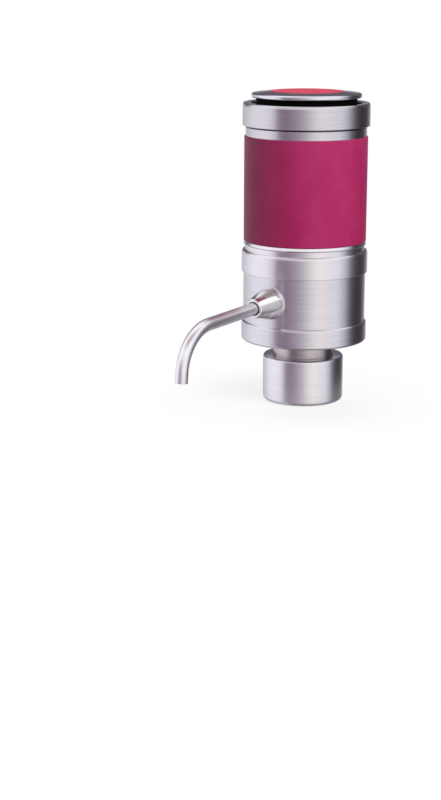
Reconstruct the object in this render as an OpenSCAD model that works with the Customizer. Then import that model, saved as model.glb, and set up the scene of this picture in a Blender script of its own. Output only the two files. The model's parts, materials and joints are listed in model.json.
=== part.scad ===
// Electric drink aerator with a push-on collar at its lower end and a bent spout.
// A motor and diaphragm pump in the grip press air down through the collar. The drink rises through the
// manifold, is mixed with air there, and leaves through the spout.
// Millimetres. The origin is the centre of the collar's lower rim, +Z runs up the body's axis,
// and the spout points along -Y.

/* [Outer shell] */
// Outside diameter of the lower barrel and of the grip sleeve
shell_d = 60.2; // [58:0.2:68]
// How far the three raised rings stand proud of the barrel
ring_proud = 0.9; // [0.5:0.1:1.5]
// How far the plain bands beside the grip are set in from the barrel
band_inset = 0.6; // [0.3:0.1:0.7]
// Wall of the lower housing
housing_wall = 1.9; // [1.5:0.1:2.4]
// Floor of the lower housing
housing_floor = 2.5; // [2:0.1:4]
// Height of the raised ring at the bottom of the body
bottom_ring_h = 9.9; // [9:0.1:14]
// Height of the lower barrel between the bottom and middle rings
barrel_h = 24.3; // [22:0.1:32]
// Height of the raised ring in the middle of the body
middle_ring_h = 10.7; // [9:0.1:14]
// Height of the plain band under the grip
lower_band_h = 4.5; // [4:0.1:7]
// Height of the plain band over the grip
upper_band_h = 5; // [4.5:0.1:8]
// Height of the raised ring at the top of the body
top_ring_h = 11; // [10:0.1:15]
// Rounding of the rings' upper edges
ring_round = 0.7; // [0.2:0.1:1.2]
// Bevel of the rings' lower edges
ring_bevel = 0.9; // [0.2:0.1:1.2]
// Rounding of the body's lowest edge
base_round = 1.2; // [0.4:0.1:2]
// Depth of the spigot that joins the middle ring to the lower housing
spigot_h = 4; // [3:0.1:6]
// Height of the shadow groove under the top ring
seam_h = 0.5; // [0.3:0.1:0.8]

/* [Grip] */
// Thickness of the soft sleeve
sleeve_t = 1.5; // [1.2:0.1:2]
// Wall of the barrel inside the sleeve
grip_wall = 1.4; // [1:0.1:1.8]
// Length of the grip beyond the cells, for contacts, floors and lid
grip_room = 6.5; // [6.2:0.1:10]
// Gap under the sleeve where the upper shell lifts off
lift_gap = 0.12; // [0.05:0.01:0.3]

/* [Collar and neck] */
// Thickness of the rubber liner inside the collar's wall
liner_t = 2.55; // [1.8:0.05:4]
// Height of the collar
collar_h = 22.8; // [22:0.1:30]
// Wall of the collar
collar_wall = 2; // [1.6:0.1:2.4]
// Rounding of the collar's upper edge
collar_top_round = 1.2; // [0.4:0.1:1.6]
// Rounding of the collar's lower edge
collar_base_round = 2.4; // [0.8:0.1:2.8]
// Diameter of the push-on socket inside the liner
socket_d = 30.8; // [30:0.1:32]
// Thickness of the collar's turned-in lower lip
lip_t = 2.5; // [1.5:0.1:4]
// Thickness of the collar's top plate
collar_top_t = 2; // [1.5:0.1:3]
// Thickness of the gasket at the socket's inner end
gasket_h = 4.6; // [3.5:0.1:4.8]
// Hole through the gasket
gasket_bore_d = 18; // [16:0.2:20]
// Diameter of the neck between collar and body
neck_d = 30; // [29:0.2:33]
// Visible height of that neck
neck_h = 7.9; // [5:0.1:12]
// Width of the shoulder around the threaded spigots at both ends of the neck
neck_shoulder = 3.1; // [2.2:0.1:3.6]
// Bore of the neck
neck_bore_d = 18; // [17:0.1:19]
// Thickness of the two clamp nuts on the neck's spigots
nut_h = 3; // [2:0.1:3.2]

/* [Spout] */
// Outside diameter of the spout tube
spout_d = 6; // [5.4:0.1:6.4]
// Wall of the spout tube
spout_wall = 0.6; // [0.4:0.1:1]
// Straight length from the barrel's surface to the bend
spout_reach = 50; // [35:0.5:65]
// Radius of the bend's centre line
bend_r = 21.7; // [14:0.1:30]
// Angle of the bend
bend_angle = 83; // [60:1:95]
// Straight length after the bend
spout_end = 4; // [2:0.5:12]
// Downward slope of the spout's straight length
spout_droop = 2.5; // [0:0.5:5]
// Diameter of the ferrule where it meets the barrel
ferrule_base_d = 16.2; // [14:0.1:18]
// Wall of the ferrule's tip around the seal ring
ferrule_tip_wall = 0.7; // [0.5:0.1:1.5]
// Length of the ferrule outside the barrel
ferrule_l = 14; // [10:0.5:20]
// Diameter of the ferrule's shank inside the barrel
shank_d = 10; // [9:0.1:11]
// Length of that shank
shank_l = 10.4; // [9:0.1:12]
// Length of spout tube held inside the ferrule's shank
spout_grip = 9; // [7:0.5:9]
// Wire thickness of the spout's seal ring
seal_wire_d = 0.9; // [0.8:0.05:1]

/* [Button] */
// How far the edge of the button's steel cap is set in from its well
button_set_in = 0.15; // [0.1:0.05:1]
// Height of the cap's rim
button_rim_h = 2.3; // [1.8:0.1:3.5]
// Rise of the cap from its rim to the inlay
button_crown = 0.9; // [0.2:0.1:1.5]
// Gap between the cap and the top ring at rest
button_gap = 2.2; // [2:0.1:4]
// Diameter of the coloured inlay
inlay_d = 35.4; // [24:0.2:44]
// Depth of the inlay's seat
inlay_t = 0.8; // [0.4:0.1:1.2]
// How far the button travels
button_travel = 1.6; // [1:0.1:1.8]
// Diameter of the plunger's stem
stem_d = 6; // [4:0.2:8]
// Plate thickness of the plunger under the cap
plunger_plate_t = 1.4; // [1:0.1:2]
// Skirt wall of the plunger
plunger_wall = 1.4; // [1:0.1:2]
// Depth of the bore that guides the plunger
guide_depth = 4.1; // [3.5:0.1:5]
// Width of the top ring around the button's well
bezel_lip = 4; // [3.5:0.1:4.4]
// Wire thickness of the return spring
spring_wire_d = 0.8; // [0.6:0.05:1]
// Mean diameter of the return spring
spring_d = 16.4; // [15.8:0.2:20]
// Turns of the return spring
spring_turns = 5; // [3:1:6]

/* [Switch] */
// Thickness of the switch's circuit board
board_t = 1.6; // [1:0.1:2]
// Diameter of the switch's circuit board
board_d = 42; // [36:0.5:46]
// Width of the push switch
switch_w = 10; // [8:0.2:10.4]
// Height of the push switch
switch_h = 4.5; // [4:0.1:5]
// Diameter of the switch's plunger
switch_pin_d = 4.4; // [3:0.1:5]
// Height of the plunger above the switch
switch_pin_h = 2.2; // [1.9:0.1:2.8]
// Thickness of the deck's plug below its flange
deck_plug_t = 1.5; // [1:0.1:2]
// Thickness of the deck's flange
deck_flange_t = 1.5; // [1:0.1:2]

/* [Cells] */
// Diameter of one cell
cell_d = 10.5; // [9.8:0.1:11]
// Length of one cell with its button
cell_l = 44.5; // [42:0.5:50]
// Height of a cell's positive button
cell_tip_h = 1; // [0.8:0.1:1.4]
// Room for one compressed contact spring
cell_spring_h = 0.9; // [0.8:0.1:1.4]
// Clearance around a cell in its well
well_gap = 0.2; // [0.1:0.05:0.4]
// Floor of the cell carrier
carrier_floor = 2.8; // [2.6:0.1:4]
// Thickness of the contact strips
contact_t = 0.3; // [0.2:0.05:0.5]
// Thickness of the carrier's lid
lid_t = 2; // [1.8:0.1:2.4]
// Height of the contact rings on the lid
contact_ring_h = 0.4; // [0.3:0.05:0.6]
// Distance from the lid's edge to the middle of the outer contact ring
outer_ring_inset = 5.9; // [5.4:0.1:6.4]
// Distance between the middles of the two contact rings
ring_pitch = 4; // [3:0.1:4.4]
// Width of a contact ring
contact_ring_w = 2; // [1.4:0.1:2.4]
// Web of the carrier inside and outside the cells' wells
carrier_web = 1; // [0.8:0.1:1.6]

/* [Pump and motor] */
// How far the motor is set in from the crankcase's side
motor_step = 1.3; // [1:0.1:2.4]
// How far the motor's end cap lies below the top of the lid
motor_sink = 2.1; // [1.6:0.1:6]
// Height of the motor's end cap
end_cap_h = 1.9; // [1.4:0.1:2]
// Diameter of the motor's shaft
shaft_d = 2; // [1.6:0.1:2.4]
// Gap between the crankcase and the cell carrier around it
core_gap = 0.5; // [0.3:0.05:0.8]
// Height of the crankcase
crankcase_h = 18.8; // [18.4:0.1:20]
// Wall of the crankcase
crankcase_wall = 2.6; // [2.2:0.1:2.8]
// Width of the crankcase's flange
flange_w = 3; // [2:0.1:3.5]
// Thickness of the crankcase's flange
flange_t = 2; // [1.5:0.1:2.4]
// Thickness of the diaphragm's sheet
diaphragm_t = 1.5; // [1:0.1:2]
// Thickness of the valve plate
valve_plate_t = 2.9; // [2:0.1:3.5]
// Height of the pump head
pump_head_h = 7.5; // [6:0.1:9]
// Tilt of the crank pin that makes the wobble plate nutate
crank_tilt = 9; // [5:0.5:9]
// Diameter of the crank pin
crank_pin_d = 1.6; // [1.2:0.1:1.8]
// Room around the crank hub for the motor's screws
hub_room = 4.4; // [4.2:0.1:5.4]
// Gap between the wobble plate and the crankcase
wobble_gap = 1.3; // [1.1:0.1:2.4]
// Gap between the diaphragm's cups and the crankcase
cup_gap = 1.2; // [1:0.1:1.8]
// Web between two neighbouring cups of the diaphragm
cup_web = 3.74; // [3:0.02:5]
// Thickness of the chassis plate
chassis_t = 3; // [2.5:0.1:4]

/* [Manifold] */
// Diameter of the manifold's body
manifold_d = 22; // [20:0.2:24]
// Diameter of the passage that the drink rises through
wine_bore_d = 4; // [3:0.1:4.4]
// Diameter of the mixing chamber
mixing_d = 7.6; // [6.4:0.1:8]
// Diameter of the air passage
air_bore_d = 3; // [2:0.1:3.2]
// Wall between the air passage and the outside of the manifold's stem
air_wall = 0.9; // [0.7:0.1:1.1]
// Diameter of the jets that let air into the mixing chamber
jet_d = 1; // [0.6:0.1:1.4]
// Diameter of the hose nipple that points down into the socket
nipple_d = 6; // [5.6:0.1:7]
// Length of that nipple
nipple_l = 6.5; // [5:0.1:6.8]
// Diameter of the boss that holds the spout's shank
boss_d = 15; // [13:0.1:16]
// Diameter of the air barbs
barb_d = 4.2; // [3.6:0.1:4.8]
// Wall of the air hose
hose_wall = 1.5; // [1:0.1:2]

/* [Fits] */
// Radial gap where one fixed piece sits in another
fit_gap = 0.05; // [0.02:0.01:0.1]
// Radial gap of a turning or sliding shaft in its bore
run_gap = 0.05; // [0.03:0.01:0.08]
// Gap around moving pieces that only pass each other
pass_gap = 0.4; // [0.3:0.05:0.5]
// Gap between faces that almost touch across a joint
touch_gap = 0.1; // [0.05:0.01:0.15]
// Diameter of the small machine screws
screw_d = 2; // [1.6:0.1:2.4]
// Diameter of their heads
screw_head_d = 3.6; // [3.2:0.1:4]
// Height of their heads
screw_head_h = 1.2; // [0.8:0.1:1.3]

/* [Hidden] */
$fn = 96;

// Colours
steel = [0.72, 0.72, 0.74];
bright_steel = [0.85, 0.85, 0.87];
magenta = [0.66, 0.12, 0.33];
black = [0.06, 0.06, 0.07];
grey_plastic = [0.45, 0.46, 0.48];
rubber_black = [0.10, 0.10, 0.11];
silicone = [0.82, 0.84, 0.86];
brass = [0.80, 0.62, 0.25];
copper = [0.72, 0.40, 0.20];
board_green = [0.05, 0.35, 0.18];

// Radii of the outer shell
shell_r = shell_d / 2;
ring_r = shell_r + ring_proud;
band_r = shell_r - band_inset;
housing_in = shell_r - housing_wall;
ring_edge = min(ring_round, ring_proud - 0.1);
socket_r = socket_d / 2;
collar_in = socket_r + liner_t + fit_gap;
collar_r = collar_in + collar_wall;
neck_r = neck_d / 2;
neck_spigot_r = neck_r - neck_shoulder;
neck_hole_r = neck_spigot_r + fit_gap;

// Levels of the outer stack
body_z0 = collar_h + neck_h;
barrel_z0 = body_z0 + bottom_ring_h;
barrel_z1 = barrel_z0 + barrel_h;
middle_z1 = barrel_z1 + middle_ring_h;
grip_z0 = middle_z1 + lower_band_h;
grip_z1 = grip_z0 + cell_l + grip_room;
top_z0 = grip_z1 + upper_band_h;
top_z1 = top_z0 + top_ring_h;
button_z0 = top_z1 + button_gap;
button_z1 = button_z0 + button_rim_h;
floor_z1 = body_z0 + housing_floor;

// Screws
screw_r = screw_d / 2;
screw_head_r = screw_head_d / 2;
screw_hole_r = screw_r + fit_gap;
head_gap = 0.15;
head_sink = 0.2;
head_rim = 0.4;
slot_w = 0.5;
slot_depth = 0.5;
slot_l = screw_head_d * 2 / 3;

// Collar and neck
collar_plate_z = collar_h - collar_top_t;
collar_nut_z = collar_plate_z - nut_h;
nut_gap = 0.2;
gasket_z1 = collar_nut_z - nut_gap;
liner_z1 = gasket_z1 - gasket_h;
neck_nut_z = floor_z1;
neck_top_z = neck_nut_z + nut_h;
nut_r = neck_r;
nut_notch_w = 3;
nut_notch_d = 1.5;

// Grip
barrel_r = shell_r - sleeve_t;
grip_in = barrel_r - grip_wall;
lift_socket_r = barrel_r + touch_gap;
lift_socket_h = lower_band_h - 0.4;
lift_z0 = grip_z0 - lift_socket_h;
coupling_in = grip_in - 0.8;

// Spout
spout_r = spout_d / 2;
spout_z = barrel_z0 + barrel_h / 2;
ferrule_base_r = ferrule_base_d / 2;
ferrule_land = 0.9;
ferrule_turn = 2.4;
shank_r = shank_d / 2;
tip_lap = 0.02;
tip_overlap = 0.3;
seal_wire_r = seal_wire_d / 2;
seal_mid_r = spout_r + seal_wire_r + 0.03;
seal_seat_r = seal_mid_r + seal_wire_r + 0.02;
ferrule_tip_r = seal_seat_r + ferrule_tip_wall;
seal_seat_l = 3;

// Room for the cells inside the grip, and for the pump and motor inside the cells
cell_r = cell_d / 2;
well_r = cell_r + well_gap;
carrier_gap = 0.3;
carrier_r = grip_in - carrier_gap;
cell_ring_r = carrier_r - well_r - carrier_web;
carrier_in = cell_ring_r - well_r - carrier_web;
outer_ring_r = carrier_r - outer_ring_inset;
inner_ring_r = outer_ring_r - ring_pitch;
crankcase_r = carrier_in - core_gap;
crankcase_in = crankcase_r - crankcase_wall;
flange_r = crankcase_r + flange_w;
pump_step = 0.1;
pump_r = crankcase_r - pump_step;
motor_r = crankcase_r - motor_step;
wobble_r = crankcase_in - wobble_gap;
crank_hub_r = crankcase_in - hub_room;
motor_screw_r = (crank_hub_r + crankcase_in) / 2;

// Three cups side by side inside the crankcase, with a web between them
cup_reach = crankcase_in - cup_gap;
cup_r = (cup_reach * sqrt(3) - cup_web) / (2 + sqrt(3));
chamber_r = cup_reach - cup_r;
cup_wall = 0.8;
valve_room = 2.6;
pump_cavity_r = chamber_r + valve_room;
valve_disc_r = 2;
valve_disc_t = 0.55;
inlet_r = 0.9;
outlet_r = 0.5;
port_pitch = 2.2;

// Chassis, pump and motor, from the chassis plate's top
chassis_z1 = grip_z0 + 0.1;
chassis_z0 = chassis_z1 - chassis_t;
chassis_r = coupling_in - 0.2;
chassis_hole_r = pump_r + 0.3;
chassis_screw_r = chassis_r - screw_head_r - head_rim;
lug_in = chassis_screw_r - screw_head_r - head_rim;
lug_h = 4;
lug_span = 24;
lug_first = 30 - lug_span / 2;
stack_gap = 0.1;
diaphragm_z1 = chassis_z1 - stack_gap;
diaphragm_z0 = diaphragm_z1 - diaphragm_t;
valve_plate_z1 = diaphragm_z0 - stack_gap;
valve_plate_z0 = valve_plate_z1 - valve_plate_t;
pump_head_z1 = valve_plate_z0 - stack_gap;
pump_head_z0 = pump_head_z1 - pump_head_h;
pump_cavity_h = pump_head_h - 3;
crankcase_z1 = chassis_z1 + crankcase_h;
crankcase_top_t = 1.8;
breather_r = 1;
breather_cut = 8;
breather_rise = 10;
breather_angle = 150;
pump_screw_r = crankcase_r - crankcase_wall / 2;
pump_screw_thread = 6;
motor_wall = 0.8;
motor_nose_r = 3.1;
motor_nose_h = 1.4;
shaft_r = shaft_d / 2;
bush_wall = 1;
bush_r = shaft_r + bush_wall;
bush_h = 3;

// Crank and wobble plate
crank_rise = 5.3;
crank_c_z = chassis_z1 + crank_rise;
crank_pin_r = crank_pin_d / 2;
hub_rise = 4.1;
crank_hub_z0 = crank_c_z + hub_rise;
hub_top_gap = 0.3;
crank_hub_h = crankcase_z1 - crankcase_top_t - screw_head_h - hub_top_gap - crank_hub_z0;
crank_hub_z1 = crank_hub_z0 + crank_hub_h;
pin_depth = 3.2;
crank_pin_top = crank_hub_z0 + pin_depth;
hub_gap = 0.3;
shaft_z0 = crank_pin_top + hub_gap;
wobble_t = 1.5;
wobble_hub_r = 3;
wobble_hub_low = 1.4;
wobble_hub_high = 3.1;
wobble_notch_r = 3.4;
wobble_hole_r = 1.1;
hub_flat = 2.5;
hub_flat_rise = 0.5;
cup_h = 2;

// Cells
well_z0 = chassis_z1 + carrier_floor;
cell_room_z0 = well_z0 + contact_t;
cell_room_z1 = cell_room_z0 + cell_l + cell_spring_h;
carrier_z1 = cell_room_z1 + contact_t;
lid_z1 = carrier_z1 + lid_t;
lid_in = motor_r + 0.8;
lid_rim = 0.6;
lid_screw_r = carrier_r - screw_head_r - lid_rim;
lid_screw_thread = 4;
window_w = cell_d * 0.62;
cell_tip_r = 1.9;
cell_pad_r = cell_r - 0.6;
cone_base_r = 3.6;
cone_wire_r = 0.16;
link_w = 4.8;
link_gap = 0.3;

// Motor, which ends below the lid
motor_z0 = crankcase_z1;
end_cap_z1 = lid_z1 - motor_sink;
motor_z1 = end_cap_z1 - end_cap_h;
motor_l = motor_z1 - motor_z0;
magnet_t = 2.2;
magnet_rise = 4;
magnet_room = 9;
magnet_l = motor_l - magnet_room;
magnet_span = 124;
air_gap = 0.5;
armature_r = motor_r - motor_wall - magnet_t - air_gap;
armature_rise = 6;
armature_room = 15;
armature_l = motor_l - armature_room;
armature_sleeve = 1.6;
armature_margin = 1;
armature_slot_w = 1.4;
armature_slot_d = 2.6;
brush_room = 4;
terminal_r = motor_r - 4;
lead_r = 0.6;
lead_gap = 0.3;
lead_headroom = 0.4;
shaft_sink = 0.4;

// Upper shell
deck_z1 = top_z0;
deck_flange_z0 = deck_z1 - deck_flange_t;
deck_z0 = deck_flange_z0 - deck_plug_t;
standoff_h = 0.8;
board_z0 = deck_z1 + standoff_h;
board_z1 = board_z0 + board_t;
board_screw_inset = 4;
board_screw_r = board_d / 2 - board_screw_inset;
standoff_r = 2.4;
switch_z1 = board_z1 + switch_h;
switch_pin_r = switch_pin_d / 2;
switch_pin_z1 = switch_z1 + switch_pin_h;
well_bore_r = ring_r - bezel_lip;
guide_z0 = top_z1 - guide_depth;
relief_r = well_bore_r + 0.6;
pin_r = 1;
pin_angle = 200;

// Button
button_r = well_bore_r - button_set_in;
inlay_r = inlay_d / 2;
plunger_r = well_bore_r - pass_gap;
plunger_plate_z0 = button_z0 - plunger_plate_t;
plunger_in = plunger_r - plunger_wall;
catch_r = well_bore_r + 0.3;
catch_z1 = guide_z0 - 0.2;
catch_h = 1.5;
catch_span = 24;
stem_r = stem_d / 2;
cap_edge = min(0.5, button_rim_h / 3);
spring_r = spring_d / 2;
spring_wire_r = spring_wire_d / 2;

// Manifold
manifold_r = manifold_d / 2;
manifold_z0 = neck_top_z;
boss_r = boss_d / 2;
manifold_z1 = spout_z + boss_r;
stem_z0 = collar_plate_z - 0.8;
boss_root = 7.7;
boss_inset = shell_r - sqrt(pow(housing_in, 2) - pow(boss_r, 2)) + 0.6;
manifold_stem_r = neck_bore_d / 2 - 0.2;
wine_r = wine_bore_d / 2;
air_r = air_bore_d / 2;
air_offset = manifold_stem_r - air_r - air_wall;
mixing_r = mixing_d / 2;
mixing_h = 10;
barb_r = barb_d / 2;
barb_bore_r = barb_r - 0.8;
hose_span = pump_head_z0 - manifold_z1;
barb_l = hose_span / 2 - 0.5;

// Points along an arc of radius r about [x, y], in steps fine enough for a small edge
function arc_points(x, y, r, from, to, steps = 6) =
    [for (i = [0:steps]) let (a = from + (to - from) * i / steps) [x + r * cos(a), y + r * sin(a)]];

// Point at t on a curve with four control points
function bezier(p, t) =
    pow(1 - t, 3) * p[0] + 3 * pow(1 - t, 2) * t * p[1] + 3 * (1 - t) * t * t * p[2] + pow(t, 3) * p[3];

// Solid of revolution about Z from an outline of [radius, height] points
module lathe(outline) {
    rotate_extrude() polygon(outline);
}

// Tube about Z from height z0 to z1
module tube(r_out, r_in, z0, z1) {
    translate([0, 0, z0]) difference() {
        cylinder(r = r_out, h = z1 - z0);
        translate([0, 0, -1]) cylinder(r = r_in, h = z1 - z0 + 2);
    }
}

// Cylinder about Z from height z0 to z1
module rod(r, z0, z1) {
    translate([0, 0, z0]) cylinder(r = r, h = z1 - z0);
}

// Copies of the children around Z at the given radius
module around(count, radius, first = 0) {
    for (i = [0:count - 1]) rotate([0, 0, first + 360 * i / count]) translate([radius, 0, 0]) children();
}

// Frame with its Z along the spout's axis, its origin on the barrel's surface and its Y upward
module on_spout() {
    translate([0, -shell_r, spout_z]) rotate([90 + spout_droop, 0, 0]) children();
}

// Frame with its Z along the tilted crank pin, its origin where that axis crosses the motor's axis
module on_crank() {
    translate([0, 0, crank_c_z]) rotate([0, crank_tilt, 0]) children();
}

// Machine screw with its head's underside at z = 0, the shank below it and a cross slot in the head
module screw(length) {
    difference() {
        cylinder(d = screw_head_d, h = screw_head_h);
        for (turn = [0, 90]) rotate([0, 0, turn])
            translate([-slot_l / 2, -slot_w / 2, screw_head_h - slot_depth]) cube([slot_l, slot_w, 1]);
    }
    translate([0, 0, -length]) cylinder(d = screw_d, h = length);
}

// Round wire along a list of points, with rings of the given number of sides
module wire(path, r, sides = 8) {
    count = len(path);
    ring_frames = [for (i = [0:count - 1])
        let (
            step = path[min(i + 1, count - 1)] - path[max(i - 1, 0)],
            along = step / norm(step),
            side_raw = cross(along, abs(along[2]) > 0.9 ? [1, 0, 0] : [0, 0, 1]),
            side = side_raw / norm(side_raw),
            up = cross(side, along)
        ) [side, up]];
    points = [for (i = [0:count - 1]) for (k = [0:sides - 1])
        let (a = 360 * k / sides) path[i] + r * (cos(a) * ring_frames[i][0] + sin(a) * ring_frames[i][1])];
    skin = [for (i = [0:count - 2]) for (k = [0:sides - 1]) for (half = [0, 1])
        let (
            a = i * sides + k,
            b = i * sides + (k + 1) % sides,
            c = a + sides,
            d = b + sides
        ) half == 0 ? [a, c, b] : [b, c, d]];
    ends = concat(
        [for (k = [1:sides - 2]) [0, k, k + 1]],
        [for (k = [1:sides - 2]) let (e = (count - 1) * sides) [e, e + k + 1, e + k]]
    );
    polyhedron(points = points, faces = concat(skin, ends));
}

// Collar and neck
module collar_shell() color(steel) lathe(concat(
    [[socket_r, 0]],
    arc_points(collar_r - collar_base_round, collar_base_round, collar_base_round, -90, 0),
    arc_points(collar_r - collar_top_round, collar_h - collar_top_round, collar_top_round, 0, 90),
    [
        [neck_hole_r, collar_h], [neck_hole_r, collar_plate_z], [collar_in, collar_plate_z],
        [collar_in, lip_t], [socket_r, lip_t]
    ]
));

module collar_liner() color(rubber_black) tube(collar_in - fit_gap, socket_r, lip_t, liner_z1);

module bottle_gasket() color(silicone) tube(collar_in - fit_gap, gasket_bore_d / 2, liner_z1, gasket_z1);

module slotted_nut(z) {
    difference() {
        tube(nut_r, neck_hole_r, z, z + nut_h);
        around(4, nut_r) translate([-nut_notch_d, -nut_notch_w / 2, z - 1]) cube([4, nut_notch_w, nut_h + 2]);
    }
}

module collar_nut() color(brass) slotted_nut(collar_nut_z);

module neck_nut() color(brass) slotted_nut(neck_nut_z);

module adaptor_neck() color(steel) lathe([
    [neck_bore_d / 2, collar_nut_z], [neck_spigot_r, collar_nut_z], [neck_spigot_r, collar_h],
    [neck_r, collar_h], [neck_r, body_z0], [neck_spigot_r, body_z0], [neck_spigot_r, neck_top_z],
    [neck_bore_d / 2, neck_top_z]
]);

// Lower body
module lower_housing() color(steel) difference() {
    lathe(concat(
        [[neck_hole_r, body_z0]],
        arc_points(ring_r - base_round, body_z0 + base_round, base_round, -90, 0),
        arc_points(ring_r - ring_edge, barrel_z0 - ring_edge, ring_edge, 0, 90),
        [
            [shell_r, barrel_z0], [shell_r, barrel_z1], [housing_in, barrel_z1],
            [housing_in, floor_z1], [neck_hole_r, floor_z1]
        ]
    ));
    on_spout() translate([0, 0, -shell_r / 2]) cylinder(r = shank_r + 0.2, h = shell_r);
}

module coupling_ring() color(steel) difference() {
    union() {
        lathe(concat(
            [
                [coupling_in, barrel_z1 - spigot_h], [housing_in - fit_gap, barrel_z1 - spigot_h],
                [housing_in - fit_gap, barrel_z1], [ring_r - ring_bevel, barrel_z1],
                [ring_r, barrel_z1 + ring_bevel]
            ],
            arc_points(ring_r - ring_edge, middle_z1 - ring_edge, ring_edge, 0, 90),
            [
                [band_r, middle_z1], [band_r, grip_z0], [lift_socket_r, grip_z0],
                [lift_socket_r, lift_z0], [coupling_in, lift_z0]
            ]
        ));
        for (i = [0:2]) rotate([0, 0, lug_first + 120 * i]) rotate_extrude(angle = lug_span) polygon([
            [lug_in, chassis_z0 - lug_h], [coupling_in + 0.5, chassis_z0 - lug_h],
            [coupling_in + 0.5, lift_z0 - 0.5], [coupling_in - 0.1, lift_z0 - 0.5],
            [coupling_in - 0.1, chassis_z0], [lug_in, chassis_z0]
        ]);
    }
    around(3, chassis_screw_r, 30) rod(screw_hole_r, chassis_z0 - lug_h - 1, chassis_z0 + 1);
}

// Drink and air passages
module manifold() color(grey_plastic) difference() {
    union() {
        rod(manifold_r, manifold_z0, manifold_z1);
        rod(manifold_stem_r, stem_z0, manifold_z0 + 1);
        rod(nipple_d / 2, stem_z0 - nipple_l, stem_z0 + 1);
        rod(barb_r, manifold_z1 - 1, manifold_z1 + barb_l);
        on_spout() translate([0, 0, boss_root - shell_r])
            cylinder(r = boss_r, h = shell_r - boss_root - boss_inset);
    }
    rod(wine_r, stem_z0 - nipple_l - 1, spout_z);
    rod(mixing_r, spout_z - mixing_h, spout_z + 2);
    on_spout() translate([0, 0, -shell_r - 1]) cylinder(r = wine_r, h = shell_r);
    on_spout() translate([0, 0, -shank_l - 0.2]) cylinder(r = shank_r + fit_gap, h = shank_l + 5);
    translate([0, air_offset, 0]) rod(air_r, stem_z0 - 1, manifold_z1 - 2.4);
    rod(barb_bore_r, manifold_z1 - 4, manifold_z1 + barb_l + 1);
    translate([0, 0, manifold_z1 - 4]) rotate([-90, 0, 0]) cylinder(r = barb_bore_r - 0.2, h = air_offset);
    for (dz = [2, 5]) translate([0, 0, spout_z - mixing_h + dz]) rotate([-90, 0, 0])
        cylinder(d = jet_d, h = air_offset);
}

module air_valve() color(rubber_black) translate([0, air_offset, 0]) difference() {
    union() {
        rod(air_r - fit_gap, stem_z0, stem_z0 + 4);
        rod(air_r + 0.6, stem_z0 - 1, stem_z0);
        translate([0, 0, stem_z0 - 3.4]) cylinder(r1 = 0.7, r2 = air_r + 0.3, h = 2.4);
    }
    rod(air_r - 0.6, stem_z0 - 0.5, stem_z0 + 5);
}

module air_hose() color(silicone) tube(barb_r + fit_gap + hose_wall, barb_r + fit_gap, manifold_z1 + 0.1,
    pump_head_z0 - 0.1);

// Spout
module spout_ferrule() color(bright_steel) on_spout() difference() {
    union() {
        difference() {
            lathe([
                [0, -3], [ferrule_base_r, -3], [ferrule_base_r, ferrule_land],
                [ferrule_base_r - 0.5, ferrule_turn], [ferrule_tip_r, ferrule_l - 0.3],
                [ferrule_tip_r - 0.3, ferrule_l], [0, ferrule_l]
            ]);
            rotate([-90 - spout_droop, 0, 0]) translate([0, shell_r, -shell_r])
                cylinder(r = shell_r + 0.02, h = shell_d);
        }
        translate([0, 0, -shank_l]) cylinder(r = shank_r, h = shank_l + 4);
    }
    translate([0, 0, -shank_l - 1]) cylinder(r = spout_r + run_gap, h = shank_l + ferrule_l + 2);
    translate([0, 0, ferrule_l - seal_seat_l]) cylinder(r = seal_seat_r, h = seal_seat_l + 1);
}

module spout_seal() color(rubber_black) on_spout() translate([0, 0, ferrule_l - seal_seat_l / 2])
    rotate_extrude() translate([seal_mid_r, 0]) circle(r = seal_wire_r, $fn = 32);

module spout_tube() color(steel) on_spout()
    translate([0, -bend_r, spout_reach]) rotate(a = 120, v = [1, 1, 1]) {
        translate([bend_r, 0, 0]) rotate([-90, 0, 0])
            tube(spout_r, spout_r - spout_wall, -spout_reach - spout_grip, 0);
        rotate_extrude(angle = bend_angle) translate([bend_r, 0]) difference() {
            circle(r = spout_r, $fn = 48);
            circle(r = spout_r - spout_wall, $fn = 48);
        }
        rotate([0, 0, bend_angle]) translate([bend_r, 0, 0]) rotate([-90, 0, 0])
            tube(spout_r + tip_lap, spout_r - spout_wall - tip_lap, -tip_overlap, spout_end);
    }

// Diaphragm pump
module screw_holes(r, z0, z1) {
    around(3, pump_screw_r, 90) rod(r, z0, z1);
}

module pump_head() color(grey_plastic) difference() {
    union() {
        rod(pump_r, pump_head_z0, pump_head_z1);
        rod(barb_r, pump_head_z0 - barb_l, pump_head_z0 + 1);
    }
    rod(pump_cavity_r, pump_head_z1 - pump_cavity_h, pump_head_z1 + 1);
    rod(barb_bore_r, pump_head_z0 - barb_l - 1, pump_head_z1);
    screw_holes(screw_hole_r, pump_head_z0 - 1, pump_head_z1 + 1);
}

module valve_plate() color(grey_plastic) difference() {
    rod(pump_r, valve_plate_z0, valve_plate_z1);
    around(3, chamber_r, 30) rod(inlet_r, valve_plate_z0 - 1, valve_plate_z1 + 1);
    around(3, chamber_r - port_pitch, 30) rod(outlet_r, valve_plate_z0 - 1, valve_plate_z1 + 1);
    screw_holes(screw_hole_r, valve_plate_z0 - 1, valve_plate_z1 + 1);
}

module pump_valves() color(rubber_black) around(3, chamber_r, 30) {
    rod(valve_disc_r, valve_plate_z0 - fit_gap - valve_disc_t, valve_plate_z0 - fit_gap);
    rod(inlet_r - fit_gap, valve_plate_z0 - 2 * fit_gap, valve_plate_z1 - 0.3);
}

module diaphragm() color(rubber_black) difference() {
    union() {
        rod(pump_r, diaphragm_z0, diaphragm_z1);
        around(3, chamber_r, 30) rod(cup_r, diaphragm_z1 - 0.2, diaphragm_z1 + cup_h);
    }
    around(3, chamber_r, 30) rod(cup_r - cup_wall, diaphragm_z0 - 1, diaphragm_z1 + cup_h - cup_wall);
    screw_holes(screw_hole_r, diaphragm_z0 - 1, diaphragm_z1 + 1);
}

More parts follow.
